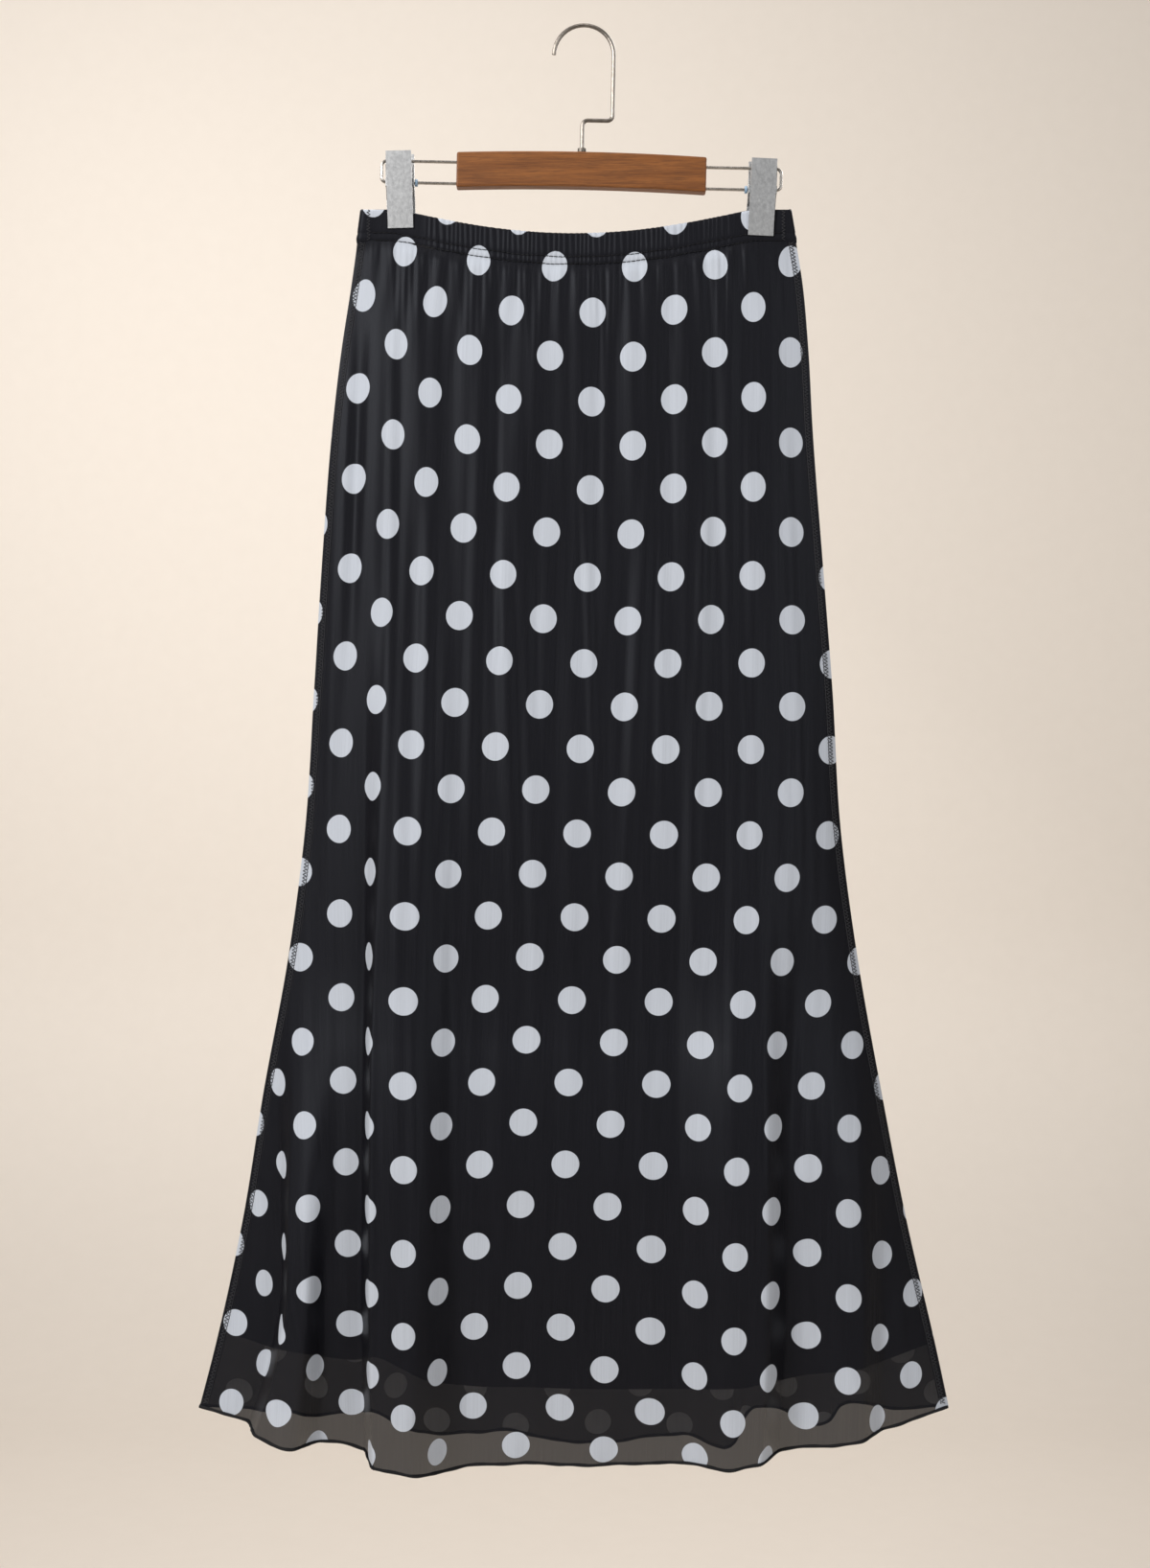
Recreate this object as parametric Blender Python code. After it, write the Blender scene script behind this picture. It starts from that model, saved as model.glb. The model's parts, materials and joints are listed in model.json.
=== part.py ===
"""Fishtail skirt of sheer dotted mesh over a plain lining, clipped by its waist to a trouser hanger.

Frame: metres, +Z up, X across the skirt, -Y towards whoever looks at its front.
The origin is the underside of the hook's crown, where a rail carries the hanger.
The tables below are in millimetres, and every height in them is a drop below the origin.
"""
import math

import bmesh
import bpy
import numpy as np
from mathutils import Matrix, Vector

MM = 0.001

# Walls and gaps, mm
MESH_WALL = 1.2
LINING_WALL = 1.0
BAND_WALL = 2.5
SEAM_GAP = 0.3


def table(columns, rows):
    """Rows of numbers as one array for each named column."""
    return {name: np.array([row[i] for row in rows], float) for i, name in enumerate(columns.split())}


# Flat outline and base depth of the hanging skirt at each drop
SECTIONS = table("drop left right front back", [
    (141, -169.2, 156.3, 5.0, 5.0),
    (195, -176.6, 165.4, 7.0, 5.6),
    (245, -184.3, 169.8, 9.5, 6.5),
    (305, -191.3, 173.0, 12.0, 7.5),
    (405, -199.0, 180.6, 15.0, 9.0),
    (505, -205.2, 188.2, 17.0, 10.0),
    (605, -211.6, 194.0, 18.5, 10.6),
    (705, -224.6, 207.0, 20.0, 11.0),
    (805, -243.0, 224.8, 22.0, 11.4),
    (905, -259.3, 244.3, 24.0, 11.7),
    (1005, -281.2, 267.4, 26.0, 12.0),
    (1045, -291.6, 276.0, 27.0, 12.0),
])

# Waistband
WAIST_DROP = 138.8
WAIST_SAG = 18.5
WAIST_CENTRE = -7.5
SAG_SPAN = 136.0
SAG_POWER = 1.2
LEVEL_PASSES = 4
BAND_HEIGHT = 24.0
BAND_TOP_ROUND = 0.9
STITCH_DROP = 18.0
RIB_PITCH = 3.9
RIB_COUNT = 62
RIB_CENTRE = -3.0
RIB_HEIGHT = 0.55
RIB_AT_STITCH = 0.45
RIB_AT_TOP = 0.4
BAND_PINCH = 2.2
BAND_BELLY = 2.8
BELLY_SPAN = 120.0
BAND_END_RADIUS = 2.6
BAND_END_EASE = 12.0
BAND_END_COLUMNS = 5
BAND_END_TURNS = (-60, -20, 20, 60)

# Gathers under the band
GATHERS = 26
GATHER_HEIGHT = 1.15
GATHER_FALL = 60.0
GATHER_SPREAD = 80.0
GATHER_STEP = 0.618

# Hems: the drop of each hem along the skirt's width
FRONT_HEM = table("x drop", [
    (-292, 1045), (-251, 1052), (-223, 1062), (-181, 1063), (-149, 1072), (-102, 1081), (-49, 1078),
    (0, 1080), (53, 1078), (104, 1078), (144, 1071), (188, 1064), (228, 1056), (275, 1045),
])
BACK_HEM = table("x drop", [
    (-292, 1045), (-251, 1049), (-212, 1061), (-187, 1053), (-158, 1053), (-133, 1073), (-108, 1076),
    (-62, 1067), (2, 1080), (27, 1080), (82, 1070), (98, 1080), (115, 1084), (125, 1057), (157, 1054),
    (173, 1066), (188, 1064), (197, 1051), (237, 1052), (275, 1045),
])
LINING_HEM = table("x drop", [
    (-271, 989), (-228, 1001), (-170, 1007), (-157, 1003), (-118, 1023), (-79, 1026), (9, 1028), (120, 1028),
    (163, 1018), (206, 1015), (261, 998),
])
HEM_LEVEL = 1075.0
FOLD_OVERRUN = 1.1

# Folds that open towards the hem. Each is a flank where the cloth steps forward (+) or back (-)
# as one goes to the right. columns: mesh columns across the flank; gap: columns after it.
FOLD_COLUMNS = "start middle x_start x_middle x_hem rise_middle rise_hem width_middle width_hem columns gap"
FRONT_FOLDS = table(FOLD_COLUMNS, [
    (705, 965, -227, -224.5, -257, 30, 32, 9, 13, 2, 1),
    (765, 945, -194, -199, -207, -19, -27, 16, 20, 2, 2),
    (385, 765, -156, -161.5, -160, 24, 38, 12, 16, 4, 3),
    (405, 865, -118, -108, -109, -21, -38, 34, 46, 3, 14),
    (565, 825, 96, 88, 90, 15, 20, 44, 34, 2, 2),
    (585, 825, 152, 143, 137, -16, -26, 22, 20, 3, 2),
    (725, 955, 178, 180, 180, 11, 19, 40, 42, 2, 1),
    (745, 935, 220, 216, 213, -12, -18, 20, 22, 3, 3),
])
BACK_FOLDS = table(FOLD_COLUMNS, [
    (705, 905, -240, -238, -235, 9, 16, 22, 24, 2, 1),
    (745, 935, -205, -203, -200, -8, -14, 22, 24, 2, 2),
    (645, 885, -150, -146, -143, 8, 15, 26, 26, 2, 4),
    (685, 905, -88, -86, -84, -8, -15, 34, 40, 3, 4),
    (785, 965, -16, -10, -2, 7, 12, 40, 44, 3, 3),
    (745, 905, 56, 60, 64, -6, -11, 36, 36, 2, 3),
    (605, 865, 108, 114, 120, 11, 22, 12, 12, 4, 1),
    (645, 885, 152, 153, 152, -9, -18, 26, 28, 2, 2),
    (705, 905, 184, 190, 193, 9, 17, 13, 12, 3, 1),
    (765, 945, 226, 228, 230, -9, -15, 20, 22, 2, 3),
])
FIRST_GAP = 3

# Soft upright ridges between the gathers and the knee
RIDGE_COLUMNS = "top bottom x_top x_bottom height width"
RIDGE_FADE_IN = 0.25
RIDGE_FADE_OUT = 0.6
FRONT_RIDGES = table(RIDGE_COLUMNS, [
    (235, 645, -184, -197, 2.6, 20),
    (175, 485, -168, -179, -1.5, 10),
    (175, 525, -151, -161, 2.6, 20),
    (170, 505, -124, -122, 2.4, 26),
    (170, 525, -80, -90, 2.4, 28),
    (175, 485, -38, -46, 2.2, 26),
    (255, 705, -62, -54, 2.0, 26),
    (175, 445, -8, -8, 2.2, 26),
    (170, 475, 43, 40, 2.2, 26),
    (175, 525, 78, 80, 2.2, 24),
    (175, 475, 106, 108, 2.0, 22),
    (175, 565, 138, 142, 2.6, 26),
])
BACK_RIDGES = table(RIDGE_COLUMNS, [
    (205, 565, -176, -188, 2.0, 22),
    (170, 505, -140, -146, 2.2, 26),
    (175, 465, -98, -104, 2.2, 26),
    (170, 545, -58, -62, 2.4, 28),
    (175, 445, -20, -22, 2.0, 24),
    (170, 505, 22, 20, 2.2, 28),
    (175, 475, 66, 68, 2.2, 26),
    (170, 545, 108, 112, 2.4, 26),
    (205, 565, 146, 156, 2.0, 22),
])

# Drops of the mesh rows below the band (gathered part) and shares of the rest down to the hem
GATHERED_ROWS = (0.0, 14.0, 36.0, 66.0, 104.0)
LOWER_SHARES = (0.0, 0.09, 0.19, 0.29, 0.39, 0.49, 0.58, 0.67, 0.75, 0.83, 0.90, 0.95, 1.0)
SMOOTH_START = 160.0
FOLLOW_FROM = 305.0
FOLLOW_OVER = 160.0
LEAST_COLUMN = 1.6

# How sharply the body and its folds run flat into the side seams
BODY_POWER = 5
FOLD_POWER = 10

# Half step for slopes
SLOPE_STEP = 0.4

# Lining: a plain tube inside the mesh
LINING_INSET = 11.0
LINING_FRONT_SHARE = 0.62
LINING_BACK_SHARE = 0.55
LINING_COLUMNS = 16
LINING_SHARES = (0.0, 0.1, 0.22, 0.36, 0.5, 0.64, 0.78, 0.9, 1.0)

# Hanger, measured upright in its own plane before it is tilted about the hook
HANGER_TILT = math.radians(1.2)
HOOK_RADIUS = 22.7
HOOK_WIRE = 3.2
HOOK_STEM_DROP = 66.5
HOOK_BEND = 4.0
HOOK_STEPS = 20
BEND_STEPS = 4
COLLAR_RADIUS = 3.3
COLLAR_HEIGHT = 3.4
COLLAR_SEGMENTS = 20
RING_CHAMFER = 0.4
BAR_LENGTH = 189.0
BAR_HEIGHT = 26.5
BAR_DEPTH = 12.0
BAR_RISE = 2.2
BAR_TOP_DROP = 95.6
BAR_EDGE = 1.3
BAR_STEPS = 12
ROD_WIRE = 2.4
ROD_UPPER_DROP = 104.3
ROD_LOWER_DROP = 120.6
ROD_REACH = 151.6
ROD_CORNER = 4.0
ROD_STEPS = 5
ROD_IN_BAR = 20.0
BORE_CLEARANCE = 0.35
BORE_PAST_ROD = 1.0
BORE_PAST_BAR = 5.0
BORE_SIDES = 14

# Clips
CLIP_PLACE = 137.5
CLIP_LEAN_LEFT = math.radians(2.6)
CLIP_LEAN_RIGHT = math.radians(-1.6)
CLIP_TOP_DROP = 98.6
CLIP_HEIGHT = 57.5
CLIP_WIDTH = 19.2
CLIP_SHEET = 0.9
CLIP_TOP_OPEN = 8.6
CLIP_JAW = 3.9
REAR_EXTRA_WIDTH = 2.4
REAR_EXTRA_TOP = 1.5
FLANGE_END_DROP = 132.5
FLANGE_REACH = 1.6
EAR_REACH = 2.6
EAR_HALF = 4.2
EAR_CHAMFER = 1.4
FLANGE_SHOULDER = 4.0
FLANGE_TOP_SLOPE = 2.0
FLANGE_NECK = 5.0
PIVOT_CLEARANCE = 0.5
PIVOT_CUT = 18.0
SPRING_RADIUS = 4.2
SPRING_LENGTH = 12.4
STOP_RADIUS = 2.9
STOP_LENGTH = 2.2
STOP_GAP = 0.6
RING_SEGMENTS = 16


def curve(xs, ys, x):
    """Smooth curve through the stations (xs, ys), straight on past the last one."""
    slopes = np.gradient(ys, xs)
    i = np.clip(np.searchsorted(xs, x) - 1, 0, len(xs) - 2)
    h = xs[i + 1] - xs[i]
    t = np.clip((x - xs[i]) / h, 0, 1)
    start = (1 + 2 * t) * (1 - t) ** 2 * ys[i] + t * (1 - t) ** 2 * h * slopes[i]
    end = t * t * (3 - 2 * t) * ys[i + 1] + t * t * (t - 1) * h * slopes[i + 1]
    return start + end + slopes[-1] * np.maximum(x - xs[-1], 0)


def ease(t):
    """0 to 1 with a soft start and end."""
    t = np.clip(t, 0, 1)
    return t * t * (3 - 2 * t)


def section(name, drop):
    return curve(SECTIONS["drop"], SECTIONS[name], drop)


def waist_drop(x):
    """Drop of the waistband's top edge, which sags between the clips."""
    s = np.clip(1 - ((x - WAIST_CENTRE) / SAG_SPAN) ** 2, 0, 1)
    return WAIST_DROP + WAIST_SAG * s ** SAG_POWER


def fold_state(folds, k, drop):
    """Place, rise and width of fold k at a drop."""
    drops = (folds["start"][k], folds["middle"][k], HEM_LEVEL)
    place = np.interp(drop, drops, (folds["x_start"][k], folds["x_middle"][k], folds["x_hem"][k]))
    widths = (2 * folds["width_middle"][k], folds["width_middle"][k], folds["width_hem"][k])
    width = np.interp(drop, drops, widths)
    grow = ease((drop - drops[0]) / (drops[1] - drops[0]))
    later = np.clip((drop - drops[1]) / (HEM_LEVEL - drops[1]), 0, FOLD_OVERRUN)
    rise = grow * (folds["rise_middle"][k] + later * (folds["rise_hem"][k] - folds["rise_middle"][k]))
    return place, rise, width


def flatness(x, drop, inset=0.0):
    """How far from the side seams: 0 at them, 1 over the middle; for the body and for its folds."""
    left = section("left", drop) + inset
    right = section("right", drop) - inset
    s = np.minimum(np.abs((2 * x - left - right) / (right - left)), 1)
    return 1 - s ** BODY_POWER, 1 - s ** FOLD_POWER


def panel_depth(side, x, drop, share):
    """Distance of a mesh panel's mid surface from the skirt's middle plane."""
    folds, ridges = (FRONT_FOLDS, FRONT_RIDGES) if side == "front" else (BACK_FOLDS, BACK_RIDGES)
    body, edge = flatness(x, drop)
    raised = 0.0
    for k in range(len(folds["start"])):
        place, rise, width = fold_state(folds, k, drop)
        raised = raised + rise * ease((x - place) / width + 0.5)
    for k in range(len(ridges["top"])):
        along = (drop - ridges["top"][k]) / (ridges["bottom"][k] - ridges["top"][k])
        place = ridges["x_top"][k] + along * (ridges["x_bottom"][k] - ridges["x_top"][k])
        strength = ease(along / RIDGE_FADE_IN) * ease((1 - along) / RIDGE_FADE_OUT)
        across = np.clip(np.abs(x - place) / ridges["width"][k], 0, 1)
        raised = raised + ridges["height"][k] * strength * (0.5 + 0.5 * np.cos(math.pi * across))
    below = drop - waist_drop(x) - BAND_HEIGHT
    number = np.floor(share * GATHERS + 0.5)
    reach = GATHER_FALL + GATHER_SPREAD * np.mod(number * GATHER_STEP, 1)
    gathered = GATHER_HEIGHT * ease(1 - below / reach) * (1 + np.cos(2 * math.pi * GATHERS * share))
    return SEAM_GAP / 2 + MESH_WALL / 2 + section(side, drop) * body + (raised + gathered) * edge


def column_place(side, share, drop):
    """X of a mesh column: even under the gathers, then following the folds' flanks."""
    folds = FRONT_FOLDS if side == "front" else BACK_FOLDS
    left, right = section("left", drop), section("right", drop)
    counts = [FIRST_GAP]
    marks = [left]
    for k in range(len(folds["start"])):
        place, _, width = fold_state(folds, k, drop)
        marks += [place - width / 2, place + width / 2]
        counts += [int(folds["columns"][k]), int(folds["gap"][k])]
    marks.append(right)
    total = sum(counts)
    column = share * total
    tracked = left + 0 * share
    before = 0
    least = LEAST_COLUMN
    for k, count in enumerate(counts):
        low = np.clip(marks[k], left + least * before, right - least * (total - before))
        high = np.clip(marks[k + 1], left + least * (before + count), right - least * (total - before - count))
        inside = (column >= before) & (column <= before + count)
        tracked = np.where(inside, low + (high - low) * (column - before) / count, tracked)
        before += count
    even = left + (right - left) * share
    return even + ease((drop - FOLLOW_FROM) / FOLLOW_OVER) * (tracked - even)


def column_count(side):
    folds = FRONT_FOLDS if side == "front" else BACK_FOLDS
    return FIRST_GAP + int(folds["columns"].sum() + folds["gap"].sum())


def band_bottom(place, count):
    """Drop of a panel's top edge, a seam's gap under the band, for columns placed by a function."""
    level = np.full(count, WAIST_DROP + BAND_HEIGHT)
    for _ in range(LEVEL_PASSES):
        level = waist_drop(place(level)) + BAND_HEIGHT + SEAM_GAP
    return level


def panel_rows(side):
    """Rows of (mid point, outward normal) of one mesh panel, from the band to the hem."""
    columns = column_count(side)
    hem = FRONT_HEM if side == "front" else BACK_HEM
    rows = []
    plans = [(2 * columns, below, None) for below in GATHERED_ROWS]
    plans += [(columns, None, share) for share in LOWER_SHARES]
    for count, below, fall in plans:
        share = np.linspace(0, 1, count + 1)
        top = band_bottom(lambda level: column_place(side, share, level), count + 1)
        hem_x = column_place(side, share, np.full(count + 1, SECTIONS["drop"][-1]))
        bottom = np.interp(hem_x, hem["x"], hem["drop"])
        if below is not None:
            drop = top + below
        else:
            drop = top + SMOOTH_START + (bottom - top - SMOOTH_START) * fall
        x = column_place(side, share, drop)
        rows.append(surface_row(lambda px, pd: panel_depth(side, px, pd, share), x, drop, side))
    return rows


def surface_row(depth, x, drop, side):
    """Points on a wall's mid surface with their outward normals, from its depth function."""
    step = SLOPE_STEP
    y = depth(x, drop)
    slope_x = (depth(x + step, drop) - depth(x - step, drop)) / (2 * step)
    slope_drop = (depth(x, drop + step) - depth(x, drop - step)) / (2 * step)
    facing = -1.0 if side == "front" else 1.0
    points = np.stack([x, facing * y, -drop], axis=1)
    normals = np.stack([-slope_x, np.full_like(x, facing), slope_drop], axis=1)
    normals /= np.linalg.norm(normals, axis=1)[:, None]
    return points, normals


def lining_rows(side):
    depth_share = LINING_FRONT_SHARE if side == "front" else LINING_BACK_SHARE

    def depth(x, drop):
        body, _ = flatness(x, drop, LINING_INSET)
        return SEAM_GAP / 2 + LINING_WALL / 2 + depth_share * section(side, drop) * body

    share = np.linspace(0, 1, LINING_COLUMNS + 1)

    def place(level):
        left = section("left", level) + LINING_INSET
        return left + (section("right", level) - LINING_INSET - left) * share

    rows = []
    top = band_bottom(place, LINING_COLUMNS + 1)
    for fall in LINING_SHARES:
        low_x = LINING_HEM["x"][0] + (LINING_HEM["x"][-1] - LINING_HEM["x"][0]) * share
        bottom = np.interp(low_x, LINING_HEM["x"], LINING_HEM["drop"])
        drop = top + (bottom - top) * fall
        rows.append(surface_row(depth, place(drop), drop, side))
    return rows


def material(name, colour, roughness, metallic=0.0):
    made = bpy.data.materials.new(name)
    made.use_nodes = True
    shader = made.node_tree.nodes["Principled BSDF"]
    shader.inputs["Base Color"].default_value = (*colour, 1.0)
    shader.inputs["Roughness"].default_value = roughness
    shader.inputs["Metallic"].default_value = metallic
    made.diffuse_color = (*colour, 1.0)
    return made


def add_object(name, mesh, look, smooth_angle=math.radians(40)):
    obj = bpy.data.objects.new(name, mesh)
    bpy.context.scene.collection.objects.link(obj)
    mesh.materials.append(look)
    mesh.shade_smooth()
    mesh.set_sharp_from_angle(angle=smooth_angle)
    return obj


def mesh_from_bmesh(name, bm):
    bmesh.ops.recalc_face_normals(bm, faces=bm.faces)
    mesh = bpy.data.meshes.new(name)
    bm.to_mesh(mesh)
    bm.free()
    return mesh


def join_rows(bm, upper, lower):
    """Faces between two rows of vertices; the lower row may have half as many columns."""
    if len(upper) == len(lower):
        for i in range(len(upper) - 1):
            bm.faces.new((upper[i], upper[i + 1], lower[i + 1], lower[i]))
        return
    for i in range(len(lower) - 1):
        bm.faces.new((upper[2 * i], upper[2 * i + 1], lower[i]))
        bm.faces.new((upper[2 * i + 1], lower[i + 1], lower[i]))
        bm.faces.new((upper[2 * i + 1], upper[2 * i + 2], lower[i + 1]))


def wall(name, rows, thickness, look):
    """A closed wall of even thickness about rows of mid points and normals."""
    bm = bmesh.new()
    outer, inner = [], []
    for points, normals in rows:
        for store, sign in ((outer, 0.5), (inner, -0.5)):
            moved = (points + normals * sign * thickness) * MM
            store.append([bm.verts.new(tuple(p)) for p in moved])
    for side in (outer, inner):
        for upper, lower in zip(side, side[1:]):
            join_rows(bm, upper, lower)
    for edge in (0, -1):
        for j in range(len(rows) - 1):
            bm.faces.new((outer[j][edge], outer[j + 1][edge], inner[j + 1][edge], inner[j][edge]))
        for i in range(len(outer[edge]) - 1):
            bm.faces.new((outer[edge][i], outer[edge][i + 1], inner[edge][i + 1], inner[edge][i]))
    return add_object(name, mesh_from_bmesh(name, bm), look)


def band_loop():
    """Middle line of the waistband in plan, with the strength of its ribs: x, y and rib height."""
    left, right = float(SECTIONS["left"][0]), float(SECTIONS["right"][0])
    first_rib = RIB_CENTRE - RIB_PITCH * RIB_COUNT / 2
    x = [first_rib + RIB_PITCH / 2 * i for i in range(2 * RIB_COUNT + 1)]
    lift = [RIB_HEIGHT if i % 2 else 0.0 for i in range(2 * RIB_COUNT + 1)]
    ends = BAND_END_COLUMNS
    low = left + BAND_END_RADIUS
    high = right - BAND_END_RADIUS
    x = [low + (x[0] - low) * i / ends for i in range(ends)] + x
    x += [x[-1] + (high - x[-1]) * (i + 1) / ends for i in range(ends)]
    lift = [0.0] * ends + lift + [0.0] * ends
    x = np.array(x)
    away = np.clip(1 - ((x - RIB_CENTRE) / BELLY_SPAN) ** 2, 0, 1)
    half = BAND_PINCH + BAND_BELLY * away
    near_end = np.minimum(x - low, high - x)
    half = half + (BAND_END_RADIUS - BAND_PINCH) * ease(1 - near_end / BAND_END_EASE)
    turns = [math.radians(a) for a in BAND_END_TURNS]
    loop = [(px, -h, lf) for px, h, lf in zip(x, half, lift)]
    loop += [(high + BAND_END_RADIUS * math.cos(a), BAND_END_RADIUS * math.sin(a), 0.0) for a in turns]
    loop += [(px, h, lf) for px, h, lf in zip(x[::-1], half[::-1], lift[::-1])]
    loop += [(low - BAND_END_RADIUS * math.cos(a), -BAND_END_RADIUS * math.sin(a), 0.0) for a in turns]
    return np.array(loop)


def waistband(look):
    """One ribbed loop: an inner face, a rounded top and an outer face with a stitched step."""
    loop = band_loop()
    x, y, lift = loop[:, 0], loop[:, 1], loop[:, 2]
    ahead, behind = np.roll(loop, -1, axis=0), np.roll(loop, 1, axis=0)
    run = ahead[:, :2] - behind[:, :2]
    normal = np.stack([run[:, 1], -run[:, 0]], axis=1)
    normal /= np.linalg.norm(normal, axis=1)[:, None]
    centre = (SECTIONS["left"][0] + SECTIONS["right"][0]) / 2
    half_top = (SECTIONS["right"][0] - SECTIONS["left"][0]) / 2
    # height down the band, share of the wall outwards, share of the rib
    profile = (
        (BAND_HEIGHT, -0.5, 0.0),
        (BAND_TOP_ROUND, -0.5, 0.0),
        (0.0, 0.0, RIB_AT_TOP),
        (BAND_TOP_ROUND, 0.5, 1.0),
        (STITCH_DROP, 0.5, RIB_AT_STITCH),
        (BAND_HEIGHT, 0.5, RIB_AT_STITCH),
    )
    bm = bmesh.new()
    rings = []
    for down, outwards, ribbed in profile:
        drop = waist_drop(x) + down
        for _ in range(LEVEL_PASSES):
            left, right = section("left", drop), section("right", drop)
            px = (left + right) / 2 + (x - centre) * (right - left) / 2 / half_top
            drop = waist_drop(px) + down
        reach = outwards * BAND_WALL + ribbed * lift
        points = np.stack([px + normal[:, 0] * reach, y + normal[:, 1] * reach, -drop], axis=1) * MM
        rings.append([bm.verts.new(tuple(p)) for p in points])
    count = len(rings[0])
    for upper, lower in zip(rings, rings[1:] + rings[:1]):
        for i in range(count):
            j = (i + 1) % count
            bm.faces.new((upper[i], upper[j], lower[j], lower[i]))
    return add_object("waistband", mesh_from_bmesh("waistband", bm), look)


def hanger_matrix():
    """Tilt of the hanger in its own plane, about the rail under the hook's crown."""
    return Matrix.Rotation(HANGER_TILT, 4, "Y")


def wire(name, points, diameter, look, resolution=2):
    """A round wire along a path given in the hanger's plane, in millimetres."""
    data = bpy.data.curves.new(name, "CURVE")
    data.dimensions = "3D"
    data.bevel_depth = diameter / 2 * MM
    data.bevel_resolution = resolution
    data.use_fill_caps = True
    spline = data.splines.new("POLY")
    spline.points.add(len(points) - 1)
    for point, (x, z) in zip(spline.points, points):
        point.co = (x * MM, 0.0, z * MM, 1.0)
    data.materials.append(look)
    obj = bpy.data.objects.new(name, data)
    bpy.context.scene.collection.objects.link(obj)
    obj.matrix_world = hanger_matrix()
    return obj


def arc(centre, radius, start, end, steps):
    """Points on an arc, angles in degrees, both ends included."""
    angles = [math.radians(start + (end - start) * i / steps) for i in range(steps + 1)]
    return [(centre[0] + radius * math.cos(a), centre[1] + radius * math.sin(a)) for a in angles]


def hook(look):
    crown = HOOK_WIRE / 2 - HOOK_RADIUS
    neck_end = -(BAR_TOP_DROP - SEAM_GAP)
    path = arc((0, crown), HOOK_RADIUS, 180, 0, HOOK_STEPS)
    path += arc((HOOK_RADIUS - HOOK_BEND, -HOOK_STEM_DROP), HOOK_BEND, 0, -90, BEND_STEPS)
    path += arc((HOOK_BEND, -(HOOK_STEM_DROP + 2 * HOOK_BEND)), HOOK_BEND, 90, 180, BEND_STEPS)
    path.append((0.0, neck_end))
    return wire("hook", path, HOOK_WIRE, look)


def turned_ring(name, outer, inner, length, look, segments):
    """A ring about its own X axis, with small chamfers on its outer edges."""
    chamfer = min(RING_CHAMFER, length / 4)
    outline = [
        (-length / 2, inner), (-length / 2, outer - chamfer), (-length / 2 + chamfer, outer),
        (length / 2 - chamfer, outer), (length / 2, outer - chamfer), (length / 2, inner),
    ]
    bm = bmesh.new()
    rings = []
    for i in range(segments):
        angle = 2 * math.pi * i / segments
        rings.append([
            bm.verts.new((x * MM, r * math.cos(angle) * MM, r * math.sin(angle) * MM)) for x, r in outline
        ])
    for ring, following in zip(rings, rings[1:] + rings[:1]):
        for k in range(len(outline)):
            n = (k + 1) % len(outline)
            bm.faces.new((ring[k], ring[n], following[n], following[k]))
    return add_object(name, mesh_from_bmesh(name, bm), look)


def helper(name, bm, matrix):
    """A hidden shape that only serves a Boolean."""
    obj = bpy.data.objects.new(name, mesh_from_bmesh(name, bm))
    bpy.context.scene.collection.objects.link(obj)
    obj.matrix_world = matrix
    obj.hide_render = True
    obj.display_type = "WIRE"
    return obj


def boolean(obj, other, operation):
    change = obj.modifiers.new(f"{operation.lower()} {other.name}", "BOOLEAN")
    change.operation = operation
    change.object = other
    change.solver = "EXACT"


def rod_cylinder(bm, radius, x_low, x_high, drop):
    """A round cutter along X at a drop in the hanger's plane."""
    turn = Matrix.Rotation(math.pi / 2, 4, "Y")
    move = Matrix.Translation(((x_low + x_high) / 2 * MM, 0, -drop * MM))
    bmesh.ops.create_cone(
        bm, cap_ends=True, segments=BORE_SIDES, radius1=radius * MM, radius2=radius * MM,
        depth=(x_high - x_low) * MM, matrix=move @ turn)


def hanger_bar(look):
    """The arched wooden bar, bored at each end for the wires."""
    bm = bmesh.new()
    outline = []
    for along, height in ((range(BAR_STEPS + 1), 0.0), (range(BAR_STEPS, -1, -1), BAR_HEIGHT)):
        for i in along:
            s = 2 * i / BAR_STEPS - 1
            outline.append((s * BAR_LENGTH / 2, -(BAR_TOP_DROP + BAR_RISE * s * s + height)))
    face = bm.faces.new([bm.verts.new((x * MM, -BAR_DEPTH / 2 * MM, z * MM)) for x, z in outline])
    grown = bmesh.ops.extrude_face_region(bm, geom=[face])
    verts = [v for v in grown["geom"] if isinstance(v, bmesh.types.BMVert)]
    bmesh.ops.translate(bm, vec=(0, BAR_DEPTH * MM, 0), verts=verts)
    obj = add_object("hanger_bar", mesh_from_bmesh("hanger_bar", bm), look)
    obj.matrix_world = hanger_matrix()
    rounding = obj.modifiers.new("rounded edges", "BEVEL")
    rounding.width = BAR_EDGE * MM
    rounding.segments = 2
    rounding.limit_method = "ANGLE"
    bores = bmesh.new()
    radius = ROD_WIRE / 2 + BORE_CLEARANCE
    for sign in (-1, 1):
        for drop in (ROD_UPPER_DROP, ROD_LOWER_DROP):
            deep = BAR_LENGTH / 2 - ROD_IN_BAR - BORE_PAST_ROD
            ends = sorted((sign * deep, sign * (BAR_LENGTH / 2 + BORE_PAST_BAR)))
            rod_cylinder(bores, radius, ends[0], ends[1], drop)
    boolean(obj, helper("bar_bores", bores, hanger_matrix()), "DIFFERENCE")
    return obj


def wire_loop(name, sign, look):
    """One bent wire: two legs in the bar, closed by a D outside the clip."""
    inner = BAR_LENGTH / 2 - ROD_IN_BAR
    corner = ROD_REACH - ROD_CORNER
    path = [(inner, -ROD_UPPER_DROP), (BAR_LENGTH / 2, -ROD_UPPER_DROP)]
    path += arc((corner, -(ROD_UPPER_DROP + ROD_CORNER)), ROD_CORNER, 90, 0, ROD_STEPS)
    path += arc((corner, -(ROD_LOWER_DROP - ROD_CORNER)), ROD_CORNER, 0, -90, ROD_STEPS)
    path += [(BAR_LENGTH / 2, -ROD_LOWER_DROP), (inner, -ROD_LOWER_DROP)]
    return wire(name, [(sign * x, z) for x, z in path], ROD_WIRE, look)


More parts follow.
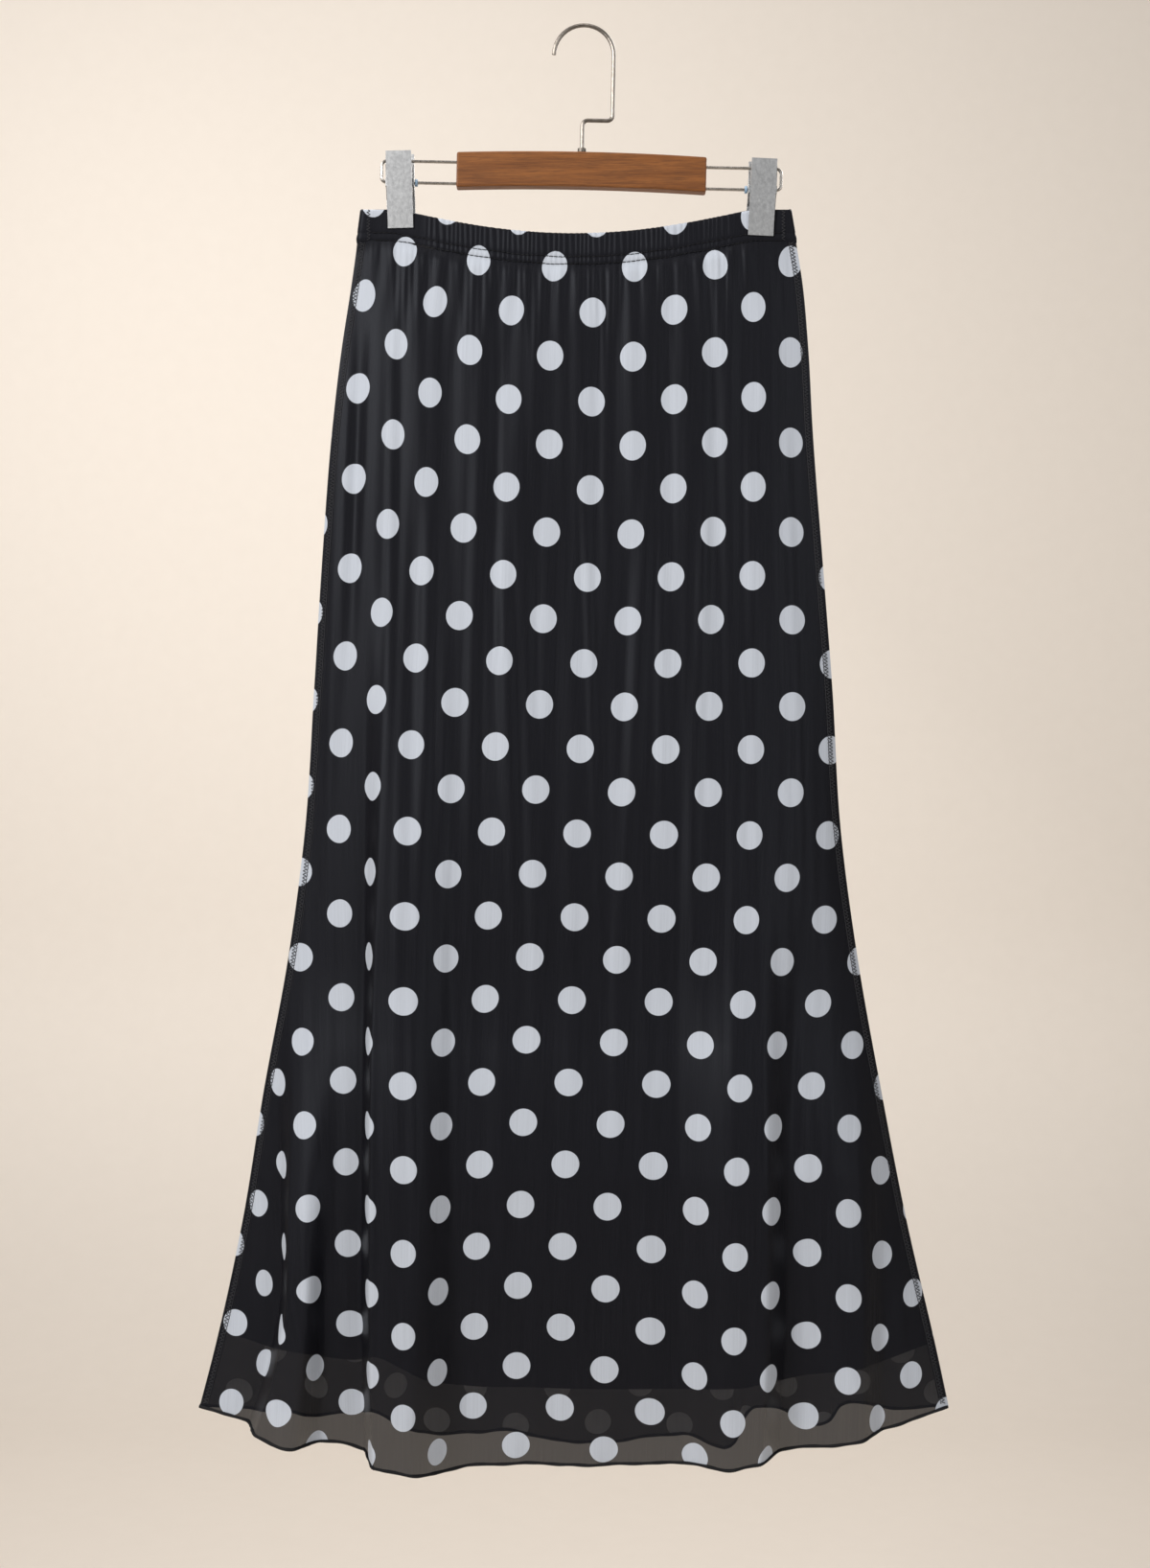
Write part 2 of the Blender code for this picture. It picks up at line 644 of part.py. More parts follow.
def clip_frame(sign):
    """Frame of a clip: its origin on the lower wire, leaning in the hanger's plane."""
    lean = CLIP_LEAN_LEFT if sign < 0 else CLIP_LEAN_RIGHT
    place = Matrix.Translation((sign * CLIP_PLACE * MM, 0, -ROD_LOWER_DROP * MM))
    return hanger_matrix() @ place @ Matrix.Rotation(-lean, 4, "Y")


def leg_outline(facing, top):
    """Plate and flange outlines of a clip's leg, as (y, z) in the clip's frame, z from the lower wire."""
    lower = ROD_LOWER_DROP
    bottom = lower - (CLIP_TOP_DROP + CLIP_HEIGHT)
    outer_top = facing * CLIP_TOP_OPEN
    outer_bottom = facing * (CLIP_JAW + CLIP_SHEET)
    plate = [
        (outer_top, top), (outer_bottom, bottom),
        (outer_bottom - facing * CLIP_SHEET, bottom), (outer_top - facing * CLIP_SHEET, top),
    ]
    flange_end = lower - FLANGE_END_DROP

    def at_plate(z):
        share = (top - z) / (top - bottom)
        return outer_top + (outer_bottom - outer_top) * share - facing * CLIP_SHEET / 2

    flange_top = top - CLIP_SHEET
    near = facing * FLANGE_REACH
    shoulder = facing * FLANGE_SHOULDER
    ear = -facing * EAR_REACH
    flange = [
        (at_plate(flange_top), flange_top), (shoulder, flange_top - FLANGE_TOP_SLOPE),
        (near, EAR_HALF + FLANGE_NECK), (near, EAR_HALF),
        (ear, EAR_HALF - EAR_CHAMFER), (ear, EAR_CHAMFER - EAR_HALF), (near, -EAR_HALF),
        (shoulder, flange_end + FLANGE_TOP_SLOPE), (at_plate(flange_end), flange_end),
    ]
    return plate, flange


def slab(bm, outline, x_low, x_high):
    """An outline in the YZ plane, extruded along X, in millimetres."""
    face = bm.faces.new([bm.verts.new((x_low * MM, y * MM, z * MM)) for y, z in outline])
    grown = bmesh.ops.extrude_face_region(bm, geom=[face])
    verts = [v for v in grown["geom"] if isinstance(v, bmesh.types.BMVert)]
    bmesh.ops.translate(bm, vec=((x_high - x_low) * MM, 0, 0), verts=verts)


def clip_leg(name, sign, facing, look):
    """One folded sheet-metal leg: a plate with two flanges that are pierced for the lower wire."""
    half = CLIP_WIDTH / 2 + (REAR_EXTRA_WIDTH / 2 if facing > 0 else 0)
    top = ROD_LOWER_DROP - CLIP_TOP_DROP + (REAR_EXTRA_TOP if facing > 0 else 0)
    plate, flange = leg_outline(facing, top)
    body = bmesh.new()
    slab(body, plate, -half, half)
    leg = add_object(name, mesh_from_bmesh(name, body), look, math.radians(25))
    leg.matrix_world = clip_frame(sign)
    for label, low in (("inner", -half), ("outer", half - CLIP_SHEET)):
        ear = bmesh.new()
        slab(ear, flange, low, low + CLIP_SHEET)
        boolean(leg, helper(f"{name}_{label}_flange", ear, clip_frame(sign)), "UNION")
    hole = bmesh.new()
    centre = sign * CLIP_PLACE
    radius = ROD_WIRE / 2 + PIVOT_CLEARANCE
    rod_cylinder(hole, radius, centre - PIVOT_CUT, centre + PIVOT_CUT, ROD_LOWER_DROP)
    boolean(leg, helper(f"{name}_hole", hole, hanger_matrix()), "DIFFERENCE")
    return leg


def ring_on_wire(name, sign, at, outer, length, look):
    ring = turned_ring(name, outer, ROD_WIRE / 2 + SEAM_GAP, length, look, RING_SEGMENTS)
    ring.matrix_world = hanger_matrix() @ Matrix.Translation((sign * at * MM, 0, -ROD_LOWER_DROP * MM))
    return ring


def build():
    for obj in list(bpy.data.objects):
        bpy.data.objects.remove(obj, do_unlink=True)
    sheer = material("sheer dotted mesh", (0.012, 0.012, 0.016), 0.55)
    plain = material("black lining", (0.008, 0.008, 0.010), 0.6)
    wood = material("stained wood", (0.28, 0.105, 0.04), 0.4)
    steel = material("satin steel", (0.62, 0.62, 0.61), 0.32, 1.0)
    plastic = material("clear plastic stop", (0.35, 0.47, 0.60), 0.35)

    waistband(sheer)
    for side in ("front", "back"):
        wall(f"skirt_{side}", panel_rows(side), MESH_WALL, sheer)
        wall(f"lining_{side}", lining_rows(side), LINING_WALL, plain)

    hook(steel)
    collar_bore = HOOK_WIRE / 2 + SEAM_GAP
    collar = turned_ring("hook_collar", COLLAR_RADIUS, collar_bore, COLLAR_HEIGHT, steel, COLLAR_SEGMENTS)
    collar_drop = BAR_TOP_DROP - SEAM_GAP - COLLAR_HEIGHT / 2
    upright = Matrix.Rotation(math.pi / 2, 4, "Y")
    collar.matrix_world = hanger_matrix() @ Matrix.Translation(Vector((0, 0, -collar_drop * MM))) @ upright
    hanger_bar(wood)
    rear_half = (CLIP_WIDTH + REAR_EXTRA_WIDTH) / 2
    for sign, label in ((-1, "left"), (1, "right")):
        wire_loop(f"wire_loop_{label}", sign, steel)
        clip_leg(f"clip_front_{label}", sign, -1, steel)
        clip_leg(f"clip_rear_{label}", sign, 1, steel)
        ring_on_wire(f"clip_spring_{label}", sign, CLIP_PLACE, SPRING_RADIUS, SPRING_LENGTH, steel)
        stop_place = CLIP_PLACE - rear_half - STOP_LENGTH / 2 - STOP_GAP
        ring_on_wire(f"wire_stop_{label}", sign, stop_place, STOP_RADIUS, STOP_LENGTH, plastic)


build()
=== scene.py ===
"""Looks of the fishtail skirt: sheer dotted mesh over a plain black lining, clipped to a trouser hanger.

The tables are in millimetres, and the meshes are made in metres. X runs across the skirt, -Y out of its
front, and a drop is a distance straight down from the hook's crown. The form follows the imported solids, made
finer: two front folds and the lower bend of all folds lie closer to the photograph, the lining is a little
wider, and creases, gathers, print, threads and the finish of every surface are added.
"""
import json
import math

import bpy
import numpy as np
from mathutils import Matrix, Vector


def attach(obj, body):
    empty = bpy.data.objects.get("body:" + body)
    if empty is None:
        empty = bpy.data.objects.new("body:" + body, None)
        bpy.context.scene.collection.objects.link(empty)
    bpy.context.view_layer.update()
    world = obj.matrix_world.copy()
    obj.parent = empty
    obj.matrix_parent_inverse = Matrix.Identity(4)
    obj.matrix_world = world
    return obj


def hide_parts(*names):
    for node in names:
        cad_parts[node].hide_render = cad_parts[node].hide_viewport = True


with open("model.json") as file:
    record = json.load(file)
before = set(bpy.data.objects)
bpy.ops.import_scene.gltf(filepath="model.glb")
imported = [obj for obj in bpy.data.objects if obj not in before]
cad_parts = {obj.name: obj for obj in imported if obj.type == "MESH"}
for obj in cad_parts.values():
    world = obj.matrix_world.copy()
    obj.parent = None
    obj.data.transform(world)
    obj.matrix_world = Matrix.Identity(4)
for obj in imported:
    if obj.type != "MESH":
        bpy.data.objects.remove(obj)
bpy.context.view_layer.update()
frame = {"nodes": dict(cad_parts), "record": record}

MM = 0.001


def table(columns, rows):
    """Rows of numbers as one array for each named column."""
    return {name: np.array([row[i] for row in rows], float) for i, name in enumerate(columns.split())}


# Half sections of the hanging skirt, the same as the solids have
SECTIONS = table("drop left right front back", [
    (141, -169.2, 156.3, 5.0, 5.0),
    (195, -176.6, 165.4, 7.0, 5.6),
    (245, -184.3, 169.8, 9.5, 6.5),
    (305, -191.3, 173.0, 12.0, 7.5),
    (405, -199.0, 180.6, 15.0, 9.0),
    (505, -205.2, 188.2, 17.0, 10.0),
    (605, -211.6, 194.0, 18.5, 10.6),
    (705, -224.6, 207.0, 20.0, 11.0),
    (805, -243.0, 224.8, 22.0, 11.4),
    (905, -259.3, 244.3, 24.0, 11.7),
    (1005, -281.2, 267.4, 26.0, 12.0),
    (1045, -291.6, 276.0, 27.0, 12.0),
])
SEAM_GAP = 0.3
MESH_WALL = 1.2
LINING_WALL = 1.0
BODY_POWER = 5
FOLD_POWER = 10

WAIST_DROP = 138.8
WAIST_SAG = 18.5
WAIST_CENTRE = -7.5
SAG_SPAN = 136.0
SAG_POWER = 1.2
BAND_HEIGHT = 24.0
BAND_WALL = 2.5
BAND_PINCH = 2.2
BAND_BELLY = 2.8
BELLY_SPAN = 120.0
BAND_END_RADIUS = 2.6
BAND_END_EASE = 12.0
STITCH_DROP = 18.0
RIB_PITCH = 3.9
RIB_COUNT = 62
RIB_CENTRE = -3.0

GATHERS = 26
GATHER_HEIGHT = 0.42
GATHER_FALL = 60.0
GATHER_SPREAD = 80.0
GATHER_REACH_STEP = 0.618
GATHER_HEIGHT_STEP = 0.377
GATHER_LEAST = 0.75
GATHER_VARIES = 0.5
PUCKER_PITCH = 4.7
PUCKER_HEIGHT = 0.26
PUCKER_FALL = 52.0
PUCKER_SWAYS = (1.6, 1.2)
PUCKER_SWAY_LENGTHS = (9.1, 4.3)
PUCKER_SLANT = 40.0
# Mean, change and length of the puckers' uneven reach and strength
PUCKER_REACH = (1.2, 0.8, 7.7)
PUCKER_STRENGTH = (0.7, 0.3, 13.0)

FRONT_HEM = table("x drop", [
    (-292, 1045), (-251, 1052), (-223, 1062), (-181, 1063), (-149, 1072), (-102, 1081), (-49, 1078),
    (0, 1080), (53, 1078), (104, 1078), (144, 1071), (188, 1064), (228, 1056), (275, 1045),
])
BACK_HEM = table("x drop", [
    (-292, 1045), (-251, 1049), (-212, 1061), (-187, 1053), (-158, 1053), (-133, 1073), (-108, 1076),
    (-62, 1067), (2, 1080), (27, 1080), (82, 1070), (98, 1080), (115, 1084), (125, 1057), (157, 1054),
    (173, 1066), (188, 1064), (197, 1051), (237, 1052), (275, 1045),
])
LINING_HEM = table("x drop", [
    (-271, 989), (-228, 1001), (-170, 1007), (-157, 1003), (-118, 1023), (-79, 1026), (9, 1028), (120, 1028),
    (163, 1018), (206, 1015), (261, 998),
])
HEM_LEVEL = 1075.0
FOLD_OVERRUN = 1.1
BEND_DROP = 945.0
BEND_POWER = 1.7
HEM_ROUNDING = (-7.5, -5, -2.5, 0, 2.5, 5, 7.5)
LINING_INSET = 6.5
LINING_SHARES = {"front": 0.62, "back": 0.55}

FOLD_COLUMNS = "start middle x_start x_middle x_hem rise_middle rise_hem width_middle width_hem"
FRONT_FOLDS = table(FOLD_COLUMNS, [
    (705, 945, -227, -224, -257, 30, 32, 9, 13),
    (765, 945, -194, -199, -207, -19, -27, 16, 20),
    (385, 765, -156, -161.5, -158.5, 24, 38, 9.5, 11.5),
    (405, 865, -118, -108, -109, -21, -38, 34, 46),
    (565, 825, 96, 88, 90, 15, 20, 44, 34),
    (585, 825, 152, 143, 137, -16, -26, 22, 20),
    (725, 955, 178, 180, 180, 11, 19, 40, 42),
    (745, 935, 220, 216, 213, -12, -18, 20, 22),
])
BACK_FOLDS = table(FOLD_COLUMNS, [
    (705, 905, -240, -238, -235, 9, 16, 22, 24),
    (745, 935, -205, -203, -200, -8, -14, 22, 24),
    (645, 885, -150, -146, -143, 8, 15, 26, 26),
    (685, 905, -88, -86, -84, -8, -15, 34, 40),
    (785, 965, -16, -10, -2, 7, 12, 40, 44),
    (745, 905, 56, 60, 64, -6, -11, 36, 36),
    (605, 865, 108, 114, 120, 11, 22, 12, 12),
    (645, 885, 152, 153, 152, -9, -18, 26, 28),
    (705, 905, 184, 190, 193, 9, 17, 13, 12),
    (765, 945, 226, 228, 230, -9, -15, 20, 22),
])

# Upright ridges (+) and troughs (-): the ridge tables are the solids' own, and the creases are finer ones
RIDGE_TOP_EASE = 0.25
RIDGE_BOTTOM_EASE = 0.6
RIDGE_COLUMNS = "top bottom x_top x_bottom height width"
FRONT_RIDGES = table(RIDGE_COLUMNS, [
    (235, 645, -184, -197, 2.6, 20),
    (175, 485, -168, -179, -1.5, 10),
    (175, 525, -151, -161, 2.6, 20),
    (170, 505, -124, -122, 2.4, 26),
    (170, 525, -80, -90, 2.4, 28),
    (175, 485, -38, -46, 2.2, 26),
    (255, 705, -62, -54, 2.0, 26),
    (175, 445, -8, -8, 2.2, 26),
    (170, 475, 43, 40, 2.2, 26),
    (175, 525, 78, 80, 2.2, 24),
    (175, 475, 106, 108, 2.0, 22),
    (175, 565, 138, 142, 2.6, 26),
])
BACK_RIDGES = table(RIDGE_COLUMNS, [
    (205, 565, -176, -188, 2.0, 22),
    (170, 505, -140, -146, 2.2, 26),
    (175, 465, -98, -104, 2.2, 26),
    (170, 545, -58, -62, 2.4, 28),
    (175, 445, -20, -22, 2.0, 24),
    (170, 505, 22, 20, 2.2, 28),
    (175, 475, 66, 68, 2.2, 26),
    (170, 545, 108, 112, 2.4, 26),
    (205, 565, 146, 156, 2.0, 22),
])
FRONT_CREASES = table(RIDGE_COLUMNS, [
    (205, 650, -168.2, -185.8, -1.9, 8.5),
    (245, 765, -187, -198, 1.0, 6),
    (205, 765, -143, -152, 1.0, 7),
    (305, 905, -126, -136, -1.0, 8),
    (305, 820, -117, -122, 1.3, 8),
    (425, 985, -104, -112, 0.9, 9),
    (245, 805, -78, -92, 1.3, 9),
    (195, 625, -66, -70, -0.8, 7),
    (360, 780, -63, -50, 1.5, 9),
    (330, 830, -47, -34, 1.6, 9),
    (265, 905, -22, -44, 0.7, 10),
    (185, 525, 18, 14, 0.8, 8),
    (300, 760, -2, 14, 0.9, 6),
    (305, 1005, -8, -14, 0.8, 12),
    (300, 880, 50, 18, 2.0, 11),
    (245, 765, 60, 58, 0.7, 8),
    (310, 860, 92, 72, 1.6, 9),
    (560, 1045, 86, 84, 1.3, 14),
    (205, 705, 98, 102, -0.8, 8),
    (425, 965, 118, 104, 0.9, 9),
    (225, 825, 124, 128, 0.9, 7),
    (265, 785, 152, 166, 1.1, 7),
    (705, 1065, 160, 166, 0.9, 9),
    (825, 1075, -190, -192, 0.9, 6),
    (865, 1075, 46, 50, 0.9, 12),
    (705, 1060, -60, -66, 0.9, 14),
])
BACK_CREASES = table(RIDGE_COLUMNS, [
    (195, 705, -166, -178, 1.0, 7),
    (265, 865, -122, -132, -0.9, 8),
    (225, 765, -82, -92, 1.3, 9),
    (305, 820, -44, -58, 1.4, 10),
    (185, 645, 4, -4, -0.9, 8),
    (265, 905, 42, 28, 1.5, 10),
    (345, 1005, 84, 92, 1.0, 9),
    (205, 725, 126, 136, 1.1, 8),
    (425, 1005, -160, -172, 0.9, 9),
    (505, 1045, 148, 172, 0.9, 9),
    (380, 900, -14, -22, 1.2, 11),
])

# The print hangs on these: x of the numbered dot columns, and how far its rows lag behind the level
PRINT_COLUMNS = np.array([-4.34, -4, -3.66, -3, -2, -1, 0, 0.34, 1, 2, 4, 7, 10, 11, 12, 13, 14, 15])
PRINT_NAMES = "low a high b c d e rim f g h i j k l m n o"
FRONT_PRINT = table("drop " + PRINT_NAMES, [
    (155, -281.5, -272, -262.5, -244, -216, -188, -160.5, -151, -132.5,
     -104.5, -50, 38.5, 127.6, 155.8, 185, 214, 243, 272),
    (205, -292.9, -283, -273.1, -254, -224, -195, -166, -157, -139,
     -112, -54.8, 37, 127.6, 155.8, 185.5, 215, 244, 273),
    (325, -302.2, -292, -281.8, -262, -231, -201, -172.8, -163.2, -144.5,
     -118, -58, 36, 127.4, 155.7, 186.5, 217, 247, 277),
    (405, -307.5, -297, -286.5, -266, -235, -205, -176, -166.8, -149.5,
     -122, -61, 34, 126.4, 156, 187.5, 219, 250, 281),
    (505, -314.5, -304, -293.5, -273, -242, -211, -181, -172, -156,
     -127.6, -65, 30, 125.2, 156.5, 187.5, 219, 251, 283),
    (605, -322.9, -312, -301.1, -280, -248, -216, -184.7, -175.4, -159.5,
     -131.6, -69.6, 26.6, 123.6, 154, 184.4, 216, 248, 280),
    (705, -319.9, -309, -298.1, -277, -246, -215.3, -183.5, -173.4, -161,
     -133.5, -73.3, 23.6, 119, 147.4, 179.2, 208, 238, 268),
    (805, -293.2, -283, -272.8, -253, -232, -211.5, -180, -169.6, -160.2,
     -133.4, -77, 19.7, 113.8, 140.3, 169.2, 199.8, 229, 260),
    (855, -285, -276, -267, -249.5, -228, -208.4, -178, -167.6, -159.6,
     -132.4, -78, 17.5, 111.4, 138.4, 166.3, 196.8, 222.8, 256),
    (905, -275.1, -268, -260.9, -247, -225, -204.4, -176.6, -166.2, -158.8,
     -132.5, -80, 16, 110.4, 137.7, 165.8, 195.6, 222.7, 253),
    (1005, -274.2, -264, -253.8, -239.5, -226, -199.9, -174, -163.6, -157.2,
     -132.3, -82.6, 14.4, 109.2, 136.2, 165.2, 195.2, 219.8, 246.5),
    (1065, -276.7, -266.5, -256.3, -243, -226.8, -199.4, -173.3, -162.9, -156.8,
     -132.3, -83.4, 14, 108.3, 134, 163.5, 193.2, 217.5, 245),
])
LAG_NAMES = "a b c d e f g h i j"
LAG_PLACES = np.array([-262.0, -228, -170, -110, -50, 20, 110, 137, 165, 240])
PRINT_LAG = table("drop " + LAG_NAMES, [
    (155, -18.5, -18.5, -18.5, -12.5, -4.5, -2.0, -7, -8, -8.8, -8.5),
    (181, -15.8, -15.8, -17.7, -11.7, -2.7, -2.8, -2.5, -5, -8, -7.7),
    (205, -14.7, -14.7, -14.7, -9.2, -2.5, -0.9, -5.4, -6.2, -6.9, -6.9),
    (265, -12, -12, -12, -7, -1.8, 0, -4, -4.5, -5, -5),
    (405, -7, -7, -7, -3.9, -0.8, 1.4, -0.6, -0.7, -0.8, 0),
    (605, -2.6, -2.6, -2.6, -0.8, -0.8, 1.3, 2, 2.1, 2.2, 2.4),
    (745, 3, 2.4, -1.6, -0.4, -1.8, 0.4, 2, 2.2, 3, 5.5),
    (855, 4, 2.8, -2.7, -1.2, -3.2, -2, 0.2, -1, 1, 7.5),
    (965, 4, 1.4, -2, -1, -2.4, 0.4, 4.6, 2.4, 6, 11),
    (1065, 4, 1.4, -2.6, -0.2, 0, 3.6, 8.4, 6.8, 10, 13),
])
BACK_COLUMN = 6
BACK_PRINT = table("drop x pitch", [
    (142, -13, 29.5), (305, -16, 31.5), (705, -19, 32.5), (1045, -20.4, 32.4),
])
FIRST_ROW = 151.7
ROW_PITCH = 67.87
ROW_CLOSING = 0.338
DOT_HALF_WIDTH = 0.318
DOT_HALF_HEIGHT = 0.1665

# Fineness of the cloth meshes
PANEL_GRIDS = {"front": (380, 250), "back": (340, 230)}
LINING_GRID = (150, 120)
ROW_SAMPLES = 1800
SETTLE_ROUNDS = 4
FIRST_GUESS_DROP = 400.0

# Each side's tables, and the way out from the middle plane
PANEL_TABLES = {
    "front": (FRONT_FOLDS, FRONT_RIDGES, FRONT_CREASES),
    "back": (BACK_FOLDS, BACK_RIDGES, BACK_CREASES),
}
MESH_HEMS = {"front": FRONT_HEM, "back": BACK_HEM}
FACING = {"front": -1.0, "back": 1.0}
OUTWARD = {"left": -1.0, "right": 1.0}

# The knit's slight unevenness: long upright waves that drift and change strength
RIPPLES = table("height length sway rate start phase", [
    (0.26, 2.9, 1.3, 1.7, 0.0, 0.6),
    (0.22, 4.3, -1.1, 1.1, 1.0, 2.1),
    (0.12, 1.7, 0.9, 2.3, 2.0, 0.0),
])
RIPPLE_DRIFT = 260.0
RIPPLE_MEAN = 0.55
RIPPLE_CHANGE = 0.35
RIPPLE_PATCH_LENGTHS = (31.0, 57.0)
RIPPLE_PATCH_RATE = 1.3

# The rolled hem's small curls, and the lining's soft waves
HEM_CURLS = table("height length sway sway_length phase", [
    (0.9, 5.3, 0.8, 17.0, 0.0),
    (0.7, 8.9, 0.0, 17.0, 1.7),
])
HEM_CURL_REACH = 34.0
LINING_WAVES = table("height length rate phase", [
    (0.5, 9.0, 1 / 300.0, 0.0),
    (0.4, 15.0, 0.0, 1.0),
])
LINING_WAVE_START = 200.0

# Sewn top edge of the panels
SEAM_OVERLAP = 1.0
SEAM_EASE = 9.0
SEWN_SHARE = 0.3

# Casing of the elastic
BAND_STEP = 0.62
BAND_ROWS = table("down outwards ribbed", [
    (24.6, -0.45, 0.0), (20.0, -0.5, 0.1), (10.0, -0.5, 0.3), (1.6, -0.5, 0.3), (0.5, -0.3, 0.3),
    (0.0, 0.0, 0.5), (0.35, 0.3, 0.8), (1.2, 0.46, 1.0), (3.0, 0.5, 1.0), (6.0, 0.5, 1.0),
    (9.0, 0.5, 1.0), (12.0, 0.5, 1.0), (14.5, 0.5, 0.95), (16.5, 0.46, 0.8), (17.5, 0.38, 0.6),
    (18.0, 0.34, 0.55), (18.5, 0.38, 0.6), (19.7, 0.48, 0.75), (21.2, 0.52, 0.8), (22.6, 0.46, 0.75),
    (23.5, 0.36, 0.6), (24.0, 0.30, 0.5), (24.6, 0.28, 0.5),
])
FIRST_OUTER_ROW = 5
INSIDE_SHARE = -0.31
PLAIN_PRINT = (1.0, 0.0)
BAND_END_TURN = 75.0
BAND_END_POINTS = 11
BAND_BACK_EASE = 2.0
BAND_BACK_RISE = 1.3
BAND_BACK_REACH = 6.0
RIB_HEIGHT = 0.75
RIB_END_EASE = 10.0
RIB_BACK_SHIFT = 2.0
SCALLOP_HEIGHT = 0.25
SCALLOP_REACH = 3.0

# Threads
HEM_THREAD_RADIUS = 1.2
HEM_THREAD_DROP = 0.2
HEM_THREAD_POINTS = 1500
HEM_THREAD_SIDES = 8
HEM_TWIST_LENGTH = 1.7
FINE_THREAD_SIDES = 5
STITCH_LENGTH = 3.1
STITCH_SPACE = 0.5
STITCH_POINTS = 6
STITCH_RADIUS = 0.30
STITCH_BOW = 0.34
STITCH_LIFT = 0.12
STITCH_SPAN = (-160.0, 148.0)
STITCH_DROPS = (STITCH_DROP, BAND_HEIGHT - 0.4)
ZIGZAG_PITCH = 2.6
ZIGZAG_WIDTH = 3.4
ZIGZAG_RADIUS = 0.3
ZIGZAG_RISE = 0.2
ZIGZAG_LIFT = 0.25
SEAM_INSETS = {"left": 3.6, "right": 3.8}
SEAM_BOTTOM = 1043.0
SEAM_STEP = 0.55
SEAM_LINE_INSET = 2.0
SEAM_LINE_RADIUS = 0.26
SEAM_LINE_SWING = 0.25
SEAM_LINE_LIFT = 0.35
BAND_SEAMS = {"left": -163.5, "right": 150.5}
BAND_ZIGZAG_WIDTH = 3.0
BAND_ZIGZAG_LIFT = 0.15
BAND_ZIGZAG_STEP = 0.5
ALLOWANCE_WIDTH = 2.6
ALLOWANCE_EDGE = 0.5
ALLOWANCE_BOTTOM = 1040.0
ALLOWANCE_STEP = 5.0

# Cloth finish
MESH_BLACK = (0.0085, 0.0085, 0.0112)
DOT_PALE = (0.58, 0.62, 0.69)
MESH_COVER = 0.9
FRONT_DOT_COVER = 0.985
BACK_DOT_COVER = 0.80
CASING_COVER = 0.995
MESH_GLOSS = 0.14
CASING_GLOSS = 0.10

# Stage, lights and camera, in metres and watts
STAGE_FLOOR = -1.75
# Height where the floor's painted shade, darker towards the bottom, has faded out
STAGE_SHADE_TOP = -1.0
STAGE_FRONT = -14.0
STAGE_BACK = 3.2
STAGE_BEND = 0.9
STAGE_BEND_STEPS = 12
STAGE_TOP = 7.5
STAGE_HALF = 16.0
SKIRT_MIDDLE = (-0.01, 0.0, -0.55)
LIGHT_COLUMNS = ("name", "place", "aim", "width", "height", "power", "colour")
LIGHTS = (
    ("key light", (-1.5, -1.9, 0.7), SKIRT_MIDDLE, 1.0, 1.6, 57.0, (1.0, 0.99, 0.98)),
    ("front fill", (1.8, -2.2, 0.1), SKIRT_MIDDLE, 1.0, 2.0, 15.0, (0.97, 0.985, 1.0)),
    ("rear light", (1.3, 2.0, 0.9), SKIRT_MIDDLE, 1.0, 1.4, 22.0, (1.0, 0.99, 0.98)),
    ("backdrop light", (-0.9, 0.6, 1.0), (0.6, 3.1, -0.5), 2.6, 1.0, 54.0, (1.0, 0.975, 0.95)),
)
WORLD_COLOUR = (1.0, 0.985, 0.97, 1.0)
WORLD_STRENGTH = 0.30
CAMERA_PLACE = (-0.0072, -1.655, -0.5738)
CAMERA_LENS = 50.1
CAMERA_SENSOR = 36.0


def curve(xs, ys, x):
    """Smooth curve through the stations (xs, ys), straight on past the last one."""
    slopes = np.gradient(ys, xs)
    i = np.clip(np.searchsorted(xs, x) - 1, 0, len(xs) - 2)
    h = xs[i + 1] - xs[i]
    t = np.clip((x - xs[i]) / h, 0, 1)
    start = (1 + 2 * t) * (1 - t) ** 2 * ys[i] + t * (1 - t) ** 2 * h * slopes[i]
    end = t * t * (3 - 2 * t) * ys[i + 1] + t * t * (t - 1) * h * slopes[i + 1]
    return start + end + slopes[-1] * np.maximum(x - xs[-1], 0) + slopes[0] * np.minimum(x - xs[0], 0)


def ease(t):
    """0 to 1 with a soft start and end."""
    t = np.clip(t, 0, 1)
    return t * t * (3 - 2 * t)


def uneven(x, mean, change, length):
    """A strength that varies along the waist round its mean."""
    return mean + change * np.sin(x / length)


def section(name, drop):
    return curve(SECTIONS["drop"], SECTIONS[name], np.maximum(drop, SECTIONS["drop"][0]))


def waist_drop(x):
    """Drop of the waistband's top edge, which sags between the clips."""
    s = np.clip(1 - ((x - WAIST_CENTRE) / SAG_SPAN) ** 2, 0, 1)
    return WAIST_DROP + WAIST_SAG * s ** SAG_POWER


def sewn_drop(x):
    """Drop of the panels' top edge, sewn up under the casing."""
    return waist_drop(x) + BAND_HEIGHT - SEAM_OVERLAP


def fold_state(folds, k, drop):
    """Place, rise and width of fold k at a drop."""
    start, middle, x_middle = folds["start"][k], folds["middle"][k], folds["x_middle"][k]
    rise_middle, width_middle = folds["rise_middle"][k], folds["width_middle"][k]
    bend = np.clip((drop - BEND_DROP) / (HEM_LEVEL - BEND_DROP), 0, FOLD_OVERRUN) ** BEND_POWER
    place = np.interp(drop, (start, middle), (folds["x_start"][k], x_middle))
    place = place + (folds["x_hem"][k] - x_middle) * bend
    widths = (2 * width_middle, width_middle, folds["width_hem"][k])
    width = np.interp(drop, (start, middle, HEM_LEVEL), widths)
    later = np.clip((drop - middle) / (HEM_LEVEL - middle), 0, FOLD_OVERRUN)
    grow = ease((drop - start) / (middle - start))
    rise = grow * (rise_middle + later * (folds["rise_hem"][k] - rise_middle))
    return place, rise, width


